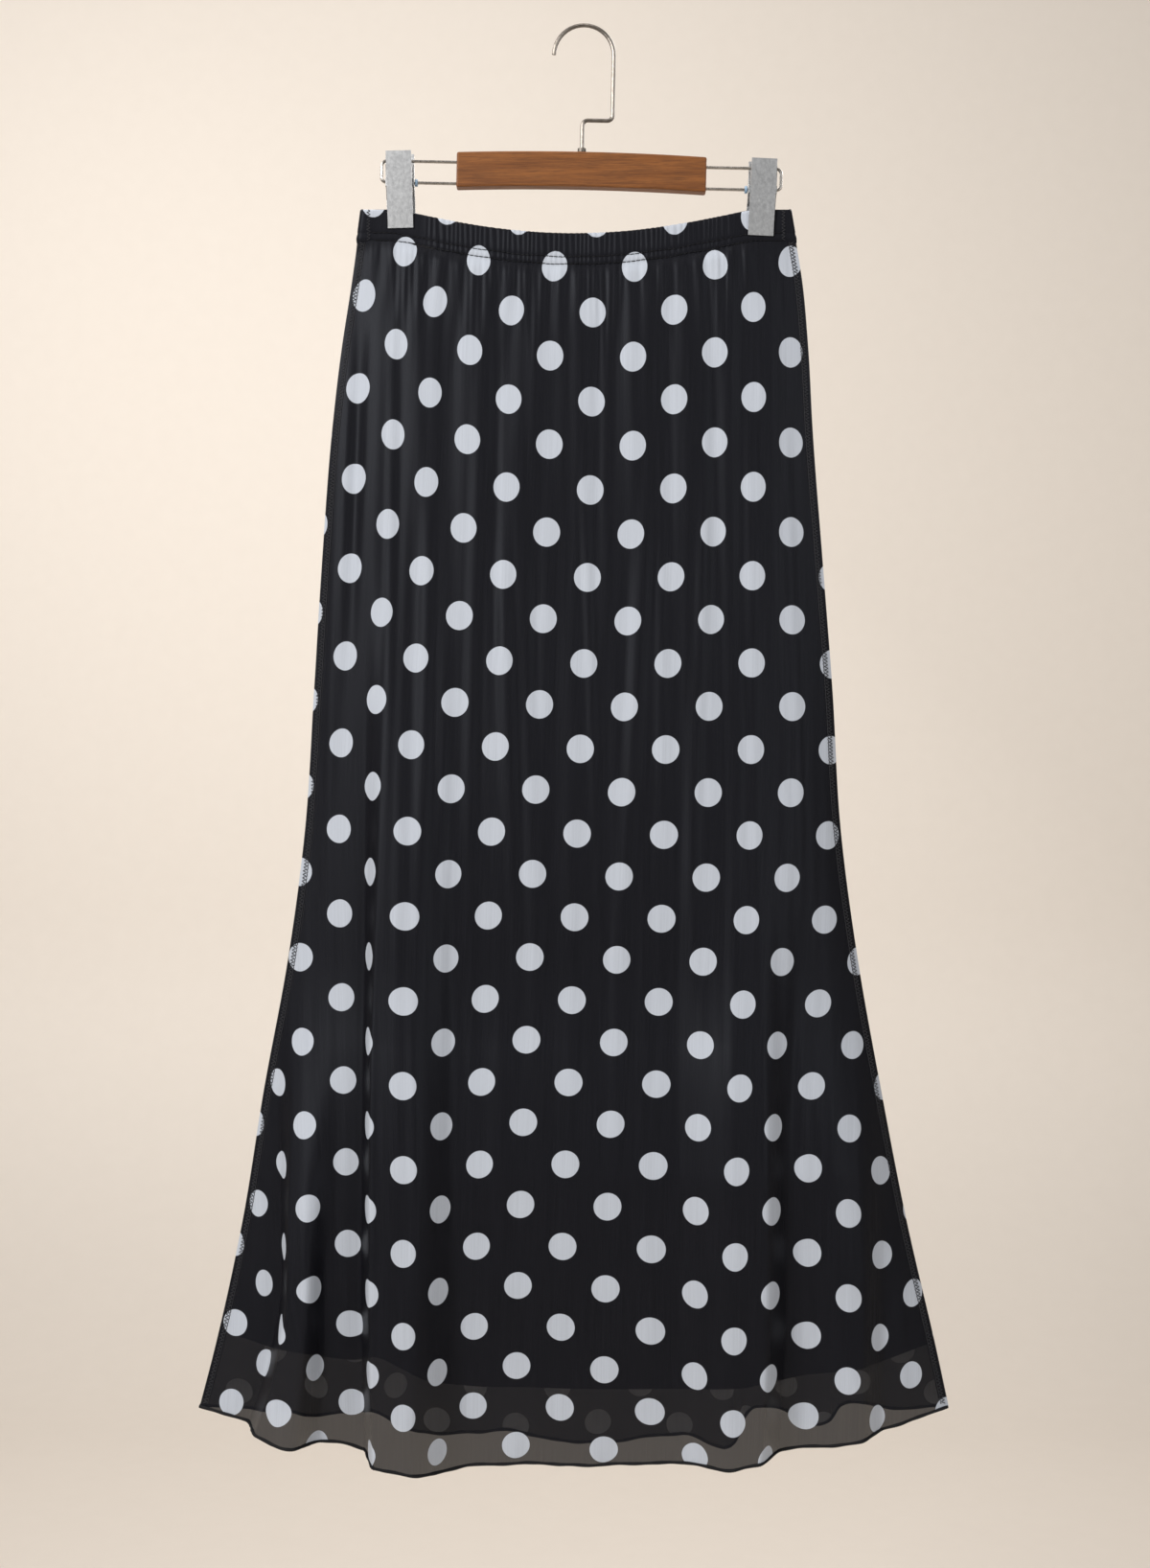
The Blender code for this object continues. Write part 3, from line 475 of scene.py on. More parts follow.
def flatness(x, drop, inset=0.0):
    """How far from the side seams: 0 at them, 1 over the middle; for the body and for its folds."""
    left = section("left", drop) + inset
    right = section("right", drop) - inset
    s = np.minimum(np.abs((2 * x - left - right) / (right - left)), 1)
    return 1 - s ** BODY_POWER, 1 - s ** FOLD_POWER


def ridges_height(ridges, x, drop):
    """Summed height of a table's upright ridges and troughs."""
    raised = 0.0
    for top, bottom, x_top, x_bottom, height, width in zip(*ridges.values()):
        along = (drop - top) / (bottom - top)
        place = x_top + along * (x_bottom - x_top)
        strength = ease(along / RIDGE_TOP_EASE) * ease((1 - along) / RIDGE_BOTTOM_EASE)
        across = np.clip(np.abs(x - place) / width, 0, 1)
        raised = raised + height * strength * (0.5 + 0.5 * np.cos(math.pi * across))
    return raised


def ripple(x, drop):
    """Height of the knit's unevenness."""
    slow = drop / RIPPLE_DRIFT
    waves = 0.0
    for height, length, sway, rate, start, phase in zip(*RIPPLES.values()):
        waves = waves + height * np.sin(x / length + sway * np.sin(slow * rate + start) + phase)
    near, far = RIPPLE_PATCH_LENGTHS
    patches = np.sin(x / near + slow) * np.cos(slow * RIPPLE_PATCH_RATE + x / far)
    return waves * (RIPPLE_MEAN + RIPPLE_CHANGE * patches)


def hem_flutter(x, drop, bottom):
    """Height of the hem's curls, which die away upwards."""
    curls = 0.0
    for height, length, sway, sway_length, phase in zip(*HEM_CURLS.values()):
        curls = curls + height * np.sin(x / length + sway * np.sin(x / sway_length) + phase)
    return ease(1 - (bottom - drop) / HEM_CURL_REACH) * curls


def hem_drop(line, x):
    """Drop of a hem, its table's corners rounded over a few millimetres."""
    around = [np.interp(x + shift, line["x"], line["drop"]) for shift in HEM_ROUNDING]
    return sum(around) / len(around)


def gathers_height(x, share, below):
    """Height of the gathers and puckers below the waistband, which run out at uneven lengths."""
    number = np.floor(share * GATHERS + 0.5)
    reach = GATHER_FALL + GATHER_SPREAD * np.mod(number * GATHER_REACH_STEP, 1)
    lively = GATHER_LEAST + GATHER_VARIES * np.mod(number * GATHER_HEIGHT_STEP, 1)
    fading = ease(1 - below / reach)
    gathered = lively * GATHER_HEIGHT * fading * (1 + np.cos(2 * math.pi * GATHERS * share))
    turn = 2 * math.pi * x / PUCKER_PITCH
    turn = turn + PUCKER_SWAYS[0] * np.sin(x / PUCKER_SWAY_LENGTHS[0])
    turn = turn + PUCKER_SWAYS[1] * np.sin(x / PUCKER_SWAY_LENGTHS[1] + below / PUCKER_SLANT)
    fading = ease(1 - below / (PUCKER_FALL * uneven(x, *PUCKER_REACH)))
    return gathered + PUCKER_HEIGHT * fading * (1 + np.cos(turn)) * uneven(x, *PUCKER_STRENGTH)


def panel_depth(side, x, drop):
    """Distance of a mesh panel from the skirt's middle plane."""
    folds, ridges, creases = PANEL_TABLES[side]
    body, edge = flatness(x, drop)
    raised = ridges_height(ridges, x, drop) + ridges_height(creases, x, drop) + ripple(x, drop)
    for k in range(len(folds["start"])):
        place, rise, width = fold_state(folds, k, drop)
        raised = raised + rise * ease((x - place) / width + 0.5)
    left, right = section("left", drop), section("right", drop)
    below = drop - waist_drop(x) - BAND_HEIGHT
    gathered = gathers_height(x, (x - left) / (right - left), below)
    raised = raised + gathered + hem_flutter(x, drop, hem_drop(MESH_HEMS[side], x))
    free = SEAM_GAP / 2 + MESH_WALL / 2 + section(side, drop) * body + raised * edge
    sewn = band_half(x) + BAND_WALL * SEWN_SHARE
    return sewn + ease((below + SEAM_OVERLAP) / SEAM_EASE) * (free - sewn)


def band_ends():
    """X of the centres of the waistband's rounded ends."""
    return SECTIONS["left"][0] + BAND_END_RADIUS, SECTIONS["right"][0] - BAND_END_RADIUS


def band_half(x):
    """Distance of the waistband's middle line from the middle plane."""
    low, high = band_ends()
    half = BAND_PINCH + BAND_BELLY * np.clip(1 - ((x - RIB_CENTRE) / BELLY_SPAN) ** 2, 0, 1)
    return half + (BAND_END_RADIUS - BAND_PINCH) * ease(1 - np.minimum(x - low, high - x) / BAND_END_EASE)


def lining_depth(side, x, drop):
    """Distance of a lining panel from the skirt's middle plane."""
    body, edge = flatness(x, drop, LINING_INSET)
    soft = 0.0
    for height, length, rate, phase in zip(*LINING_WAVES.values()):
        soft = soft + height * np.sin(x / length + drop * rate + phase)
    soft = soft * edge * ease((drop - LINING_WAVE_START) / LINING_WAVE_START)
    return SEAM_GAP / 2 + LINING_WALL / 2 + LINING_SHARES[side] * section(side, drop) * body + soft


def run_length(points):
    """Length run from the first point to each point of a path."""
    steps = np.linalg.norm(np.diff(points, axis=0), axis=1)
    return np.concatenate([[0.0], np.cumsum(steps)])


def outline_x(drop, share, inset):
    """X at a share of the way from the left outline to the right one."""
    left = section("left", drop) + inset
    return left + (section("right", drop) - inset - left) * share


def cloth_grid(depth, side, inset, hem, grid):
    """A hanging cloth's grids of x, depth, drop and arc length, even along each row, and the rows' tracks."""
    columns, rows = grid
    share = np.linspace(0, 1, ROW_SAMPLES)
    made = {name: np.zeros((rows + 1, columns + 1)) for name in ("x", "y", "drop", "arc")}
    tracks = []
    for j in range(rows + 1):
        x = outline_x(FIRST_GUESS_DROP, share, inset)
        for _ in range(SETTLE_ROUNDS):
            start = sewn_drop(x)
            drop = start + (hem_drop(hem, x) - start) * (j / rows)
            x = outline_x(drop, share, inset)
        y = depth(side, x, drop)
        arc = run_length(np.stack([x, y], axis=1))
        even = np.linspace(0, arc[-1], columns + 1)
        for name, values in (("x", x), ("y", y), ("drop", drop)):
            made[name][j] = np.interp(even, arc, values)
        made["arc"][j] = even
        tracks.append((x, arc, drop))
    return made, tracks


def row_number(drop, lag):
    """Print row at a drop: the rows close up downwards, as the weight on the knit falls."""
    fallen = drop - lag - FIRST_ROW
    return (ROW_PITCH - np.sqrt(ROW_PITCH ** 2 - 4 * ROW_CLOSING * fallen)) / (2 * ROW_CLOSING)


def print_lag(x, drop):
    """How far the front's print rows lag behind the level at a place."""
    lags = np.stack([np.interp(drop, PRINT_LAG["drop"], PRINT_LAG[name]) for name in LAG_NAMES.split()])
    i = np.clip(np.searchsorted(LAG_PLACES, x) - 1, 0, len(LAG_PLACES) - 2)
    t = ease((x - LAG_PLACES[i]) / (LAG_PLACES[i + 1] - LAG_PLACES[i]))
    point = np.arange(len(x))
    return lags[i, point] * (1 - t) + lags[i + 1, point] * t


def column_places(drop):
    """X of the front's numbered dot columns at a drop."""
    names = PRINT_NAMES.split()
    return np.array([float(curve(FRONT_PRINT["drop"], FRONT_PRINT[name], drop)) for name in names])


def print_columns(side, x, arc, drop, at_arc):
    """Print column at given arc lengths of one row of the cloth."""
    if side == "back":
        middle = float(np.interp(BACK_PRINT["x"][1], x, drop))
        place = float(np.interp(middle, BACK_PRINT["drop"], BACK_PRINT["x"]))
        pitch = float(np.interp(middle, BACK_PRINT["drop"], BACK_PRINT["pitch"]))
        return BACK_COLUMN + (at_arc - np.interp(place, x, arc)) / pitch
    places = column_places(float(drop.mean()))
    anchors = np.interp(places, x, arc)
    anchors = anchors + np.minimum(places - x[0], 0) + np.maximum(places - x[-1], 0)
    return curve(anchors, PRINT_COLUMNS, at_arc)


def print_grid(side, made, tracks):
    """Print coordinates (column, row) of every point of a cloth."""
    columns = np.zeros_like(made["x"])
    rows = np.zeros_like(made["x"])
    for j, (x, arc, drop) in enumerate(tracks):
        columns[j] = print_columns(side, x, arc, drop, made["arc"][j])
        lag = print_lag(made["x"][j], made["drop"][j]) if side == "front" else 0.0
        rows[j] = row_number(made["drop"][j], lag)
    return columns, rows


def grid_faces(rows, columns, closed=False):
    """Quads of a grid of points; a closed grid joins its last column to its first."""
    index = np.arange(rows * columns).reshape(rows, columns)
    if closed:
        index = np.concatenate([index, index[:, :1]], axis=1)
    a, b, c, d = index[:-1, :-1], index[:-1, 1:], index[1:, 1:], index[1:, :-1]
    return np.stack([a, d, c, b], axis=-1).reshape(-1, 4)


def mesh_object(name, points, faces, look):
    """A smooth mesh piece from millimetre points and faces."""
    mesh = bpy.data.meshes.new(name)
    faces = faces.tolist() if isinstance(faces, np.ndarray) else faces
    mesh.from_pydata((np.asarray(points) * MM).tolist(), [], faces)
    mesh.polygons.foreach_set("use_smooth", [True] * len(mesh.polygons))
    mesh.materials.append(look)
    mesh.update()
    piece = bpy.data.objects.new(name, mesh)
    bpy.context.scene.collection.objects.link(piece)
    return piece


def set_print(piece, columns, rows):
    """Keeps the print coordinates as a UV map."""
    layer = piece.data.uv_layers.new(name="print")
    corner = np.zeros(len(piece.data.loops), int)
    piece.data.loops.foreach_get("vertex_index", corner)
    pairs = np.stack([np.ravel(columns)[corner], np.ravel(rows)[corner]], axis=1)
    layer.data.foreach_set("uv", pairs.ravel().astype(np.float32))


def seat(piece, slot, *nodes):
    """A piece rides with the object and stands for the nodes that it replaces; the slot is not used."""
    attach(piece, "root")
    if nodes:
        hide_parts(*nodes)
    return piece


class Shader:
    """Short ways to add nodes to one material."""

    def __init__(self, name):
        self.material = bpy.data.materials.new(name)
        self.material.use_nodes = True
        self.tree = self.material.node_tree
        self.surface = self.tree.nodes["Principled BSDF"]

    def node(self, kind, **settings):
        made = self.tree.nodes.new(kind)
        for key, value in settings.items():
            setattr(made, key, value)
        return made

    def link(self, source, target):
        self.tree.links.new(source, target)

    def feed(self, socket, value):
        if isinstance(value, bpy.types.NodeSocket):
            self.link(value, socket)
        else:
            socket.default_value = value

    def math(self, operation, *values):
        made = self.node("ShaderNodeMath", operation=operation)
        for socket, value in zip(made.inputs, values):
            self.feed(socket, value)
        return made.outputs[0]

    def around(self, base, noise, amount):
        """A base value that varies up and down with a noise."""
        return self.math("MULTIPLY_ADD", self.math("SUBTRACT", noise, 0.5), amount, base)

    def blend(self, share, first, second):
        """A colour between two colours."""
        made = self.node("ShaderNodeMix", data_type="RGBA")
        self.feed(made.inputs[0], share)
        for socket, colour in ((made.inputs[6], first), (made.inputs[7], second)):
            self.feed(socket, colour if isinstance(colour, bpy.types.NodeSocket) else (*colour, 1.0))
        return made.outputs[2]

    def spread(self, value, low, high, to_low=0.0, to_high=1.0):
        """A value mapped from one range to another, clamped and smoothed."""
        made = self.node("ShaderNodeMapRange", interpolation_type="SMOOTHSTEP")
        for socket, number in zip(made.inputs, (value, low, high, to_low, to_high)):
            self.feed(socket, number)
        return made.outputs[0]

    def noise(self, vector, stretch, detail=2.0, roughness=0.5):
        """Noise with its own number of cells a unit along each axis."""
        mapped = self.node("ShaderNodeMapping")
        self.link(vector, mapped.inputs["Vector"])
        mapped.inputs["Scale"].default_value = stretch
        made = self.node("ShaderNodeTexNoise")
        self.link(mapped.outputs[0], made.inputs["Vector"])
        made.inputs["Scale"].default_value = 1.0
        made.inputs["Detail"].default_value = detail
        made.inputs["Roughness"].default_value = roughness
        return made.outputs["Fac"]

    def place(self):
        return self.node("ShaderNodeTexCoord").outputs["Object"]

    def bump(self, height, distance, strength):
        made = self.node("ShaderNodeBump")
        self.link(height, made.inputs["Height"])
        made.inputs["Distance"].default_value = distance
        made.inputs["Strength"].default_value = strength
        self.link(made.outputs[0], self.surface.inputs["Normal"])

    def set(self, **values):
        for key, value in values.items():
            self.feed(self.surface.inputs[key.replace("_", " ")], value)


def scaled(colour, factor):
    return tuple(part * factor for part in colour)


def lattice_distance(shader, u, v, shift):
    """Distance from the nearest dot of one lattice of the print, 1 at its rim."""
    square = []
    for value, cells, half in ((u, 0.5, DOT_HALF_WIDTH / 2), (v, 1.0, DOT_HALF_HEIGHT)):
        cell = shader.math("FRACT", shader.math("MULTIPLY_ADD", value, cells, shift))
        away = shader.math("MULTIPLY", shader.math("SUBTRACT", cell, 0.5), 1.0 / half)
        square.append(shader.math("POWER", away, 2.0))
    return shader.math("SQRT", shader.math("ADD", *square))


def dotted_mesh(name, cover, dot_cover, gloss):
    """Black stretch mesh printed with pale dots, sheer between them."""
    shader = Shader(name)
    uv = shader.node("ShaderNodeUVMap", uv_map="print").outputs[0]
    parts = shader.node("ShaderNodeSeparateXYZ")
    shader.link(uv, parts.inputs[0])
    u, v = parts.outputs[0], parts.outputs[1]
    nearest = shader.math("MINIMUM", *(lattice_distance(shader, u, v, shift) for shift in (0.5, 0.0)))
    nearest = shader.around(nearest, shader.noise(uv, (60.0, 120.0, 1.0)), 0.03)
    printed = shader.spread(nearest, 0.985, 1.015, 1.0, 0.0)

    wales = shader.noise(uv, (34.0, 0.9, 1.0), 3.0, 0.6)
    broad = shader.noise(uv, (6.0, 0.35, 1.0), 1.0)
    specks = shader.noise(uv, (70.0, 130.0, 1.0), 1.0)
    tone = shader.math("MULTIPLY_ADD", wales, 0.10, 0.87)
    tone = shader.around(tone, specks, 0.10)
    tone = shader.around(tone, broad, 0.06)
    pale = shader.blend(wales, scaled(DOT_PALE, 0.93), scaled(DOT_PALE, 1.05))
    dark = shader.blend(shader.spread(wales, 0.35, 0.7), MESH_BLACK, scaled(MESH_BLACK, 1.35))
    colour = shader.blend(printed, dark, pale)
    shade = shader.node("ShaderNodeMix", data_type="RGBA", blend_type="MULTIPLY")
    shade.inputs[0].default_value = 1.0
    shader.link(colour, shade.inputs[6])
    shader.link(tone, shade.inputs[7])
    openness = shader.around(cover, wales, 0.05)
    alpha = shader.math("MULTIPLY_ADD", printed, dot_cover - cover, openness)
    roughness = shader.math("MULTIPLY_ADD", printed, 0.12, shader.spread(specks, 0.3, 0.7, 0.40, 0.50))
    shader.set(Base_Color=shade.outputs[2], Alpha=alpha, Roughness=roughness, Specular_IOR_Level=gloss)
    shader.set(Specular_Tint=(0.85, 0.9, 1.0, 1.0))
    knit = shader.math("ADD", shader.math("MULTIPLY", wales, 0.6), shader.math("MULTIPLY", specks, 0.4))
    shader.bump(knit, 0.0002, 0.35)
    return shader.material


def plain_lining():
    shader = Shader("black lining knit")
    wales = shader.noise(shader.place(), (900.0, 900.0, 60.0))
    colour = shader.blend(wales, (0.004, 0.004, 0.005), (0.009, 0.009, 0.011))
    shader.set(Base_Color=colour, Roughness=0.6, Specular_IOR_Level=0.15)
    shader.bump(wales, 0.0002, 0.5)
    return shader.material


def thread_look(name, colour):
    shader = Shader(name)
    twist = shader.noise(shader.place(), (1500.0, 1500.0, 1500.0), 1.0)
    twisted = shader.blend(twist, scaled(colour, 0.6), colour)
    shader.set(Base_Color=twisted, Roughness=0.6, Specular_IOR_Level=0.2)
    shader.bump(twist, 0.0002, 0.7)
    return shader.material


def cloth_piece(name, side, made, look):
    """A hanging cloth's mesh, with its faces turned outwards."""
    points = np.stack([made["x"], FACING[side] * made["y"], -made["drop"]], axis=-1).reshape(-1, 3)
    faces = grid_faces(*made["x"].shape)
    return mesh_object(name, points, faces[:, ::-1] if side == "back" else faces, look)


def make_panels(looks):
    """The front and back panels of dotted mesh."""
    pieces = {}
    for side, grid in PANEL_GRIDS.items():
        made, tracks = cloth_grid(panel_depth, side, 0.0, MESH_HEMS[side], grid)
        piece = cloth_piece(f"skirt_{side}_cloth", side, made, looks[side])
        set_print(piece, *print_grid(side, made, tracks))
        pieces[side] = seat(piece, "dotted_mesh", f"skirt_{side}")
    return pieces


def make_linings(look):
    """The shorter, plain panels inside the skirt."""
    pieces = {}
    for side in ("front", "back"):
        made, _ = cloth_grid(lining_depth, side, LINING_INSET, LINING_HEM, LINING_GRID)
        piece = cloth_piece(f"lining_{side}_cloth", side, made, look)
        pieces[side] = seat(piece, "lining", f"lining_{side}")
    return pieces


def rib_lift(x, down):
    """Height of the casing's uneven ribs, 0 near the side seams."""
    half = RIB_PITCH * RIB_COUNT / 2
    near_end = ease((half - np.abs(x - RIB_CENTRE)) / RIB_END_EASE)
    phase = 2 * math.pi * (x - RIB_CENTRE) / RIB_PITCH
    phase = phase + 1.5 * np.sin(x / 7.3) + 1.1 * np.sin(x / 3.1 + down * 0.05)
    wave = 0.5 + 0.5 * np.cos(phase)
    strength = 0.7 + 0.3 * np.sin(x / 5.1 + 1.0) * np.cos(x / 13.0)
    return RIB_HEIGHT * near_end * strength * (wave ** 0.8 - 0.25)


def band_loop():
    """Plan of the waistband's middle line all the way round, with its outward directions."""
    low, high = band_ends()
    x = np.linspace(low, high, int((high - low) / BAND_STEP))
    half = band_half(x)
    turns = np.radians(np.linspace(-BAND_END_TURN, BAND_END_TURN, BAND_END_POINTS))
    end_x, end_y = BAND_END_RADIUS * np.cos(turns), BAND_END_RADIUS * np.sin(turns)
    loop_x = np.concatenate([x, high + end_x, x[::-1], low - end_x])
    loop_y = np.concatenate([-half, end_y, half[::-1], -end_y])
    run_x = np.roll(loop_x, -1) - np.roll(loop_x, 1)
    run_y = np.roll(loop_y, -1) - np.roll(loop_y, 1)
    normal = np.stack([run_y, -run_x], axis=1)
    return loop_x, loop_y, normal / np.linalg.norm(normal, axis=1)[:, None]


def band_print(x, drop, back):
    """Print coordinates (column, row) on the casing's outer face."""
    in_front = curve(column_places(float(np.median(drop))), PRINT_COLUMNS, x)
    behind = BACK_COLUMN + (x - BACK_PRINT["x"][0]) / BACK_PRINT["pitch"][0]
    return np.where(back > 0.5, behind, in_front), row_number(drop, print_lag(x, drop) * (1 - back))


def make_band(look):
    """The elastic's casing: one ribbed loop with a rounded top and two sunk stitch rows."""
    loop_x, loop_y, normal = band_loop()
    left_top, right_top = SECTIONS["left"][0], SECTIONS["right"][0]
    share = (2 * loop_x - left_top - right_top) / (right_top - left_top)
    back = ease(loop_y / BAND_BACK_EASE + 0.5)
    rings, columns, rows = [], [], []
    for down, outwards, ribbed in zip(*BAND_ROWS.values()):
        drop = waist_drop(loop_x) + down
        for _ in range(SETTLE_ROUNDS):
            left, right = section("left", drop), section("right", drop)
            x = (left + right) / 2 + share * (right - left) / 2
            drop = waist_drop(x) + down
        higher = back * BAND_BACK_RISE * max(0.0, 1 - down / BAND_BACK_REACH)
        scallop = SCALLOP_HEIGHT * rib_lift(x, 0.0) / RIB_HEIGHT * max(0.0, 1 - down / SCALLOP_REACH)
        reach = outwards * BAND_WALL + ribbed * rib_lift(x + RIB_BACK_SHIFT * back, down)
        ring_x, ring_y = x + normal[:, 0] * reach, loop_y + normal[:, 1] * reach
        rings.append(np.stack([ring_x, ring_y, higher + scallop - drop], axis=1))
        if outwards > INSIDE_SHARE:
            column, row = band_print(x, drop, back)
        else:
            column, row = (np.full_like(x, value) for value in PLAIN_PRINT)
        columns.append(column)
        rows.append(row)
    points = np.concatenate(rings)
    faces = grid_faces(len(rings) + 1, len(loop_x), closed=True)
    faces = np.where(faces >= len(points), faces - len(points), faces)
    piece = mesh_object("waistband_cloth", points, faces, look)
    set_print(piece, np.concatenate(columns), np.concatenate(rows))
    return seat(piece, "dotted_mesh", "waistband")


def surface_track(side, x, drop, lift):
    """Points that lie on a panel, moved out by a lift."""
    return np.stack([x, FACING[side] * (panel_depth(side, x, drop) + lift), -drop], axis=1)


def tube(points, radius, sides, wobble=1.0):
    """A path's rings of points and faces, with closed ends; the wobble varies its radius."""
    points = np.asarray(points, float)
    ahead = np.gradient(points, axis=0)
    ahead /= np.linalg.norm(ahead, axis=1)[:, None]
    runs_deep = abs(ahead[:, 1]).mean() >= 0.7
    first = np.cross(ahead, (1.0, 0.0, 0.0) if runs_deep else (0.0, 1.0, 0.0))
    first /= np.linalg.norm(first, axis=1)[:, None]
    second = np.cross(ahead, first)
    angles = (np.arange(sides) * 2 * math.pi / sides)[None, :, None]
    ring = first[:, None, :] * np.cos(angles) + second[:, None, :] * np.sin(angles)
    radii = radius * wobble * np.ones(len(points))
    verts = (points[:, None, :] + ring * radii[:, None, None]).reshape(-1, 3)
    faces = grid_faces(len(points), sides, closed=True).tolist()
    last = (len(points) - 1) * sides
    faces.append(list(range(sides)))
    faces.append([last + i for i in range(sides)][::-1])
    return verts, faces


def joined(parts):
    """Several (points, faces) as one."""
    verts, faces, shift = [], [], 0
    for points, some in parts:
        verts.append(points)
        faces += [[i + shift for i in face] for face in some]
        shift += len(points)
    return np.concatenate(verts), faces


def make_hems(look):
    """The thick rolled and overlocked hem thread of each mesh panel."""
    pieces = {}
    for side, hem in MESH_HEMS.items():
        x = np.linspace(hem["x"][0], hem["x"][-1], HEM_THREAD_POINTS)
        path = surface_track(side, x, hem_drop(hem, x) + HEM_THREAD_DROP, 0.0)
        along = run_length(path)
        wobble = 1 + 0.16 * np.sin(along * 2 * math.pi / HEM_TWIST_LENGTH) + 0.1 * np.sin(along / 3.1)
        verts, faces = tube(path, HEM_THREAD_RADIUS, HEM_THREAD_SIDES, wobble)
        pieces[side] = seat(mesh_object(f"hem_thread_{side}", verts, faces, look), "dotted_mesh")
    return pieces


def band_surface(side, x, down, lift):
    """Points on the casing's outer face."""
    downs, outwards, ribbed = (BAND_ROWS[name][FIRST_OUTER_ROW:] for name in ("down", "outwards", "ribbed"))
    shifted = x + (RIB_BACK_SHIFT if side == "back" else 0.0)
    reach = np.interp(down, downs, outwards) * BAND_WALL + lift
    reach = reach + np.interp(down, downs, ribbed) * rib_lift(shifted, down)
    return np.stack([x, FACING[side] * (band_half(x) + reach), -(waist_drop(x) + down)], axis=-1)


def make_stitches(look):
    """Two rows of running stitches that hold the casing, as short bowed threads."""
    parts = []
    bow = STITCH_BOW * np.sin(np.linspace(0, math.pi, STITCH_POINTS)) + STITCH_LIFT
    for side in ("front", "back"):
        for row, down in enumerate(STITCH_DROPS):
            x = STITCH_SPAN[0] + row
            while x < STITCH_SPAN[1]:
                place = np.linspace(x, x + STITCH_LENGTH, STITCH_POINTS)
                wander = 0.25 * np.sin(x / 4.7 + row) + 0.15 * np.sin(x * 1.9)
                path = band_surface(side, place, down + wander, 0.0)
                path[:, 1] += FACING[side] * bow
                parts.append(tube(path, STITCH_RADIUS, FINE_THREAD_SIDES))
                x += STITCH_LENGTH + STITCH_SPACE
    return seat(mesh_object("band_stitches", *joined(parts), look), "dotted_mesh")


def seam_edge(end, drop):
    """X of a side seam."""
    return section(end, drop) - OUTWARD[end] * SEAM_INSETS[end]


def zigzag(drops):
    """0 to 1 and back along a seam."""
    return np.abs(np.mod(drops / ZIGZAG_PITCH, 1.0) * 2 - 1)


def seam_threads(end):
    """A side seam's zigzag, its looped line and the zigzag on the casing."""
    outward = OUTWARD[end]
    drops = np.arange(WAIST_DROP + BAND_HEIGHT + 1.0, SEAM_BOTTOM, SEAM_STEP)
    swing = zigzag(drops)
    x = seam_edge(end, drops) + outward * (swing - 0.5) * ZIGZAG_WIDTH
    path = surface_track("front", x, drops, ZIGZAG_LIFT + ZIGZAG_RISE * swing)
    parts = [tube(path, ZIGZAG_RADIUS, FINE_THREAD_SIDES)]
    loops = SEAM_LINE_SWING * np.sin(drops * 2 * math.pi / ZIGZAG_PITCH)
    line_x = seam_edge(end, drops) - outward * SEAM_LINE_INSET + loops
    line = surface_track("front", line_x, drops, SEAM_LINE_LIFT)
    parts.append(tube(line, SEAM_LINE_RADIUS, FINE_THREAD_SIDES))
    down = np.arange(BAND_ZIGZAG_STEP, BAND_HEIGHT, BAND_ZIGZAG_STEP)
    swing = zigzag(down)
    band_x = BAND_SEAMS[end] + outward * (swing - 0.5) * BAND_ZIGZAG_WIDTH
    path = band_surface("front", band_x, down, BAND_ZIGZAG_LIFT + ZIGZAG_RISE * swing)
    parts.append(tube(path, SEAM_LINE_RADIUS, FINE_THREAD_SIDES))
    return parts


def seam_allowance(end):
    """The narrow flat strip where a seam's two panels meet, inside the outline."""
    levels = np.arange(WAIST_DROP + BAND_HEIGHT + 2.0, ALLOWANCE_BOTTOM, ALLOWANCE_STEP)
    inner = seam_edge(end, levels) - OUTWARD[end] * ALLOWANCE_WIDTH
    outer = section(end, levels) - OUTWARD[end] * ALLOWANCE_EDGE
    edges = [np.stack([x, np.zeros_like(levels), -levels], axis=1) for x in (inner, outer)]
    return np.stack(edges, axis=1).reshape(-1, 3), grid_faces(len(levels), len(edges)).tolist()


def make_side_seams(look):
    """The overlocked side seams with the allowance inside them."""
    pieces = []
    for end in ("left", "right"):
        parts = seam_threads(end) + [seam_allowance(end)]
        pieces.append(seat(mesh_object(f"side_seam_{end}", *joined(parts), look), "dotted_mesh"))
    return pieces


def wood_look():
    """Reddish brown stained wood: fine grain along the bar, darker streaks and short pores."""
    shader = Shader("stained wood")
    place = shader.place()
    bands = shader.noise(place, (9.0, 150.0, 150.0), 4.0, 0.6)
    fine = shader.noise(place, (45.0, 900.0, 900.0), 3.0, 0.7)
    pores = shader.noise(place, (120.0, 2200.0, 2200.0), 1.0)
    colour = shader.blend(shader.spread(bands, 0.3, 0.7), (0.20, 0.069, 0.017), (0.30, 0.112, 0.030))
    colour = shader.blend(shader.spread(fine, 0.35, 0.75, 0.0, 0.75), colour, (0.105, 0.036, 0.011))
    colour = shader.blend(shader.spread(pores, 0.62, 0.74, 0.0, 0.45), colour, (0.060, 0.020, 0.008))
    roughness = shader.spread(fine, 0.3, 0.7, 0.42, 0.55)
    shader.set(Base_Color=colour, Roughness=roughness, Specular_IOR_Level=0.3)
    shader.bump(fine, 0.00015, 0.3)
    return shader.material


def steel_look(name, dark, light, roughness):
    """Satin steel, faintly mottled, with short upright brush marks."""
    shader = Shader(name)
    place = shader.place()
    grain = shader.noise(place, (2200.0, 2200.0, 260.0), 2.0, 0.6)
    cloud = shader.noise(place, (420.0, 420.0, 420.0), 4.0, 0.7)
    tone = shader.blend(shader.spread(cloud, 0.3, 0.7), dark, light)
    brushed = shader.spread(grain, 0.3, 0.7, roughness - 0.03, roughness + 0.04)
    shader.set(Base_Color=tone, Metallic=1.0, Roughness=shader.around(brushed, cloud, 0.10))
    shader.bump(cloud, 0.00004, 0.4)
    return shader.material


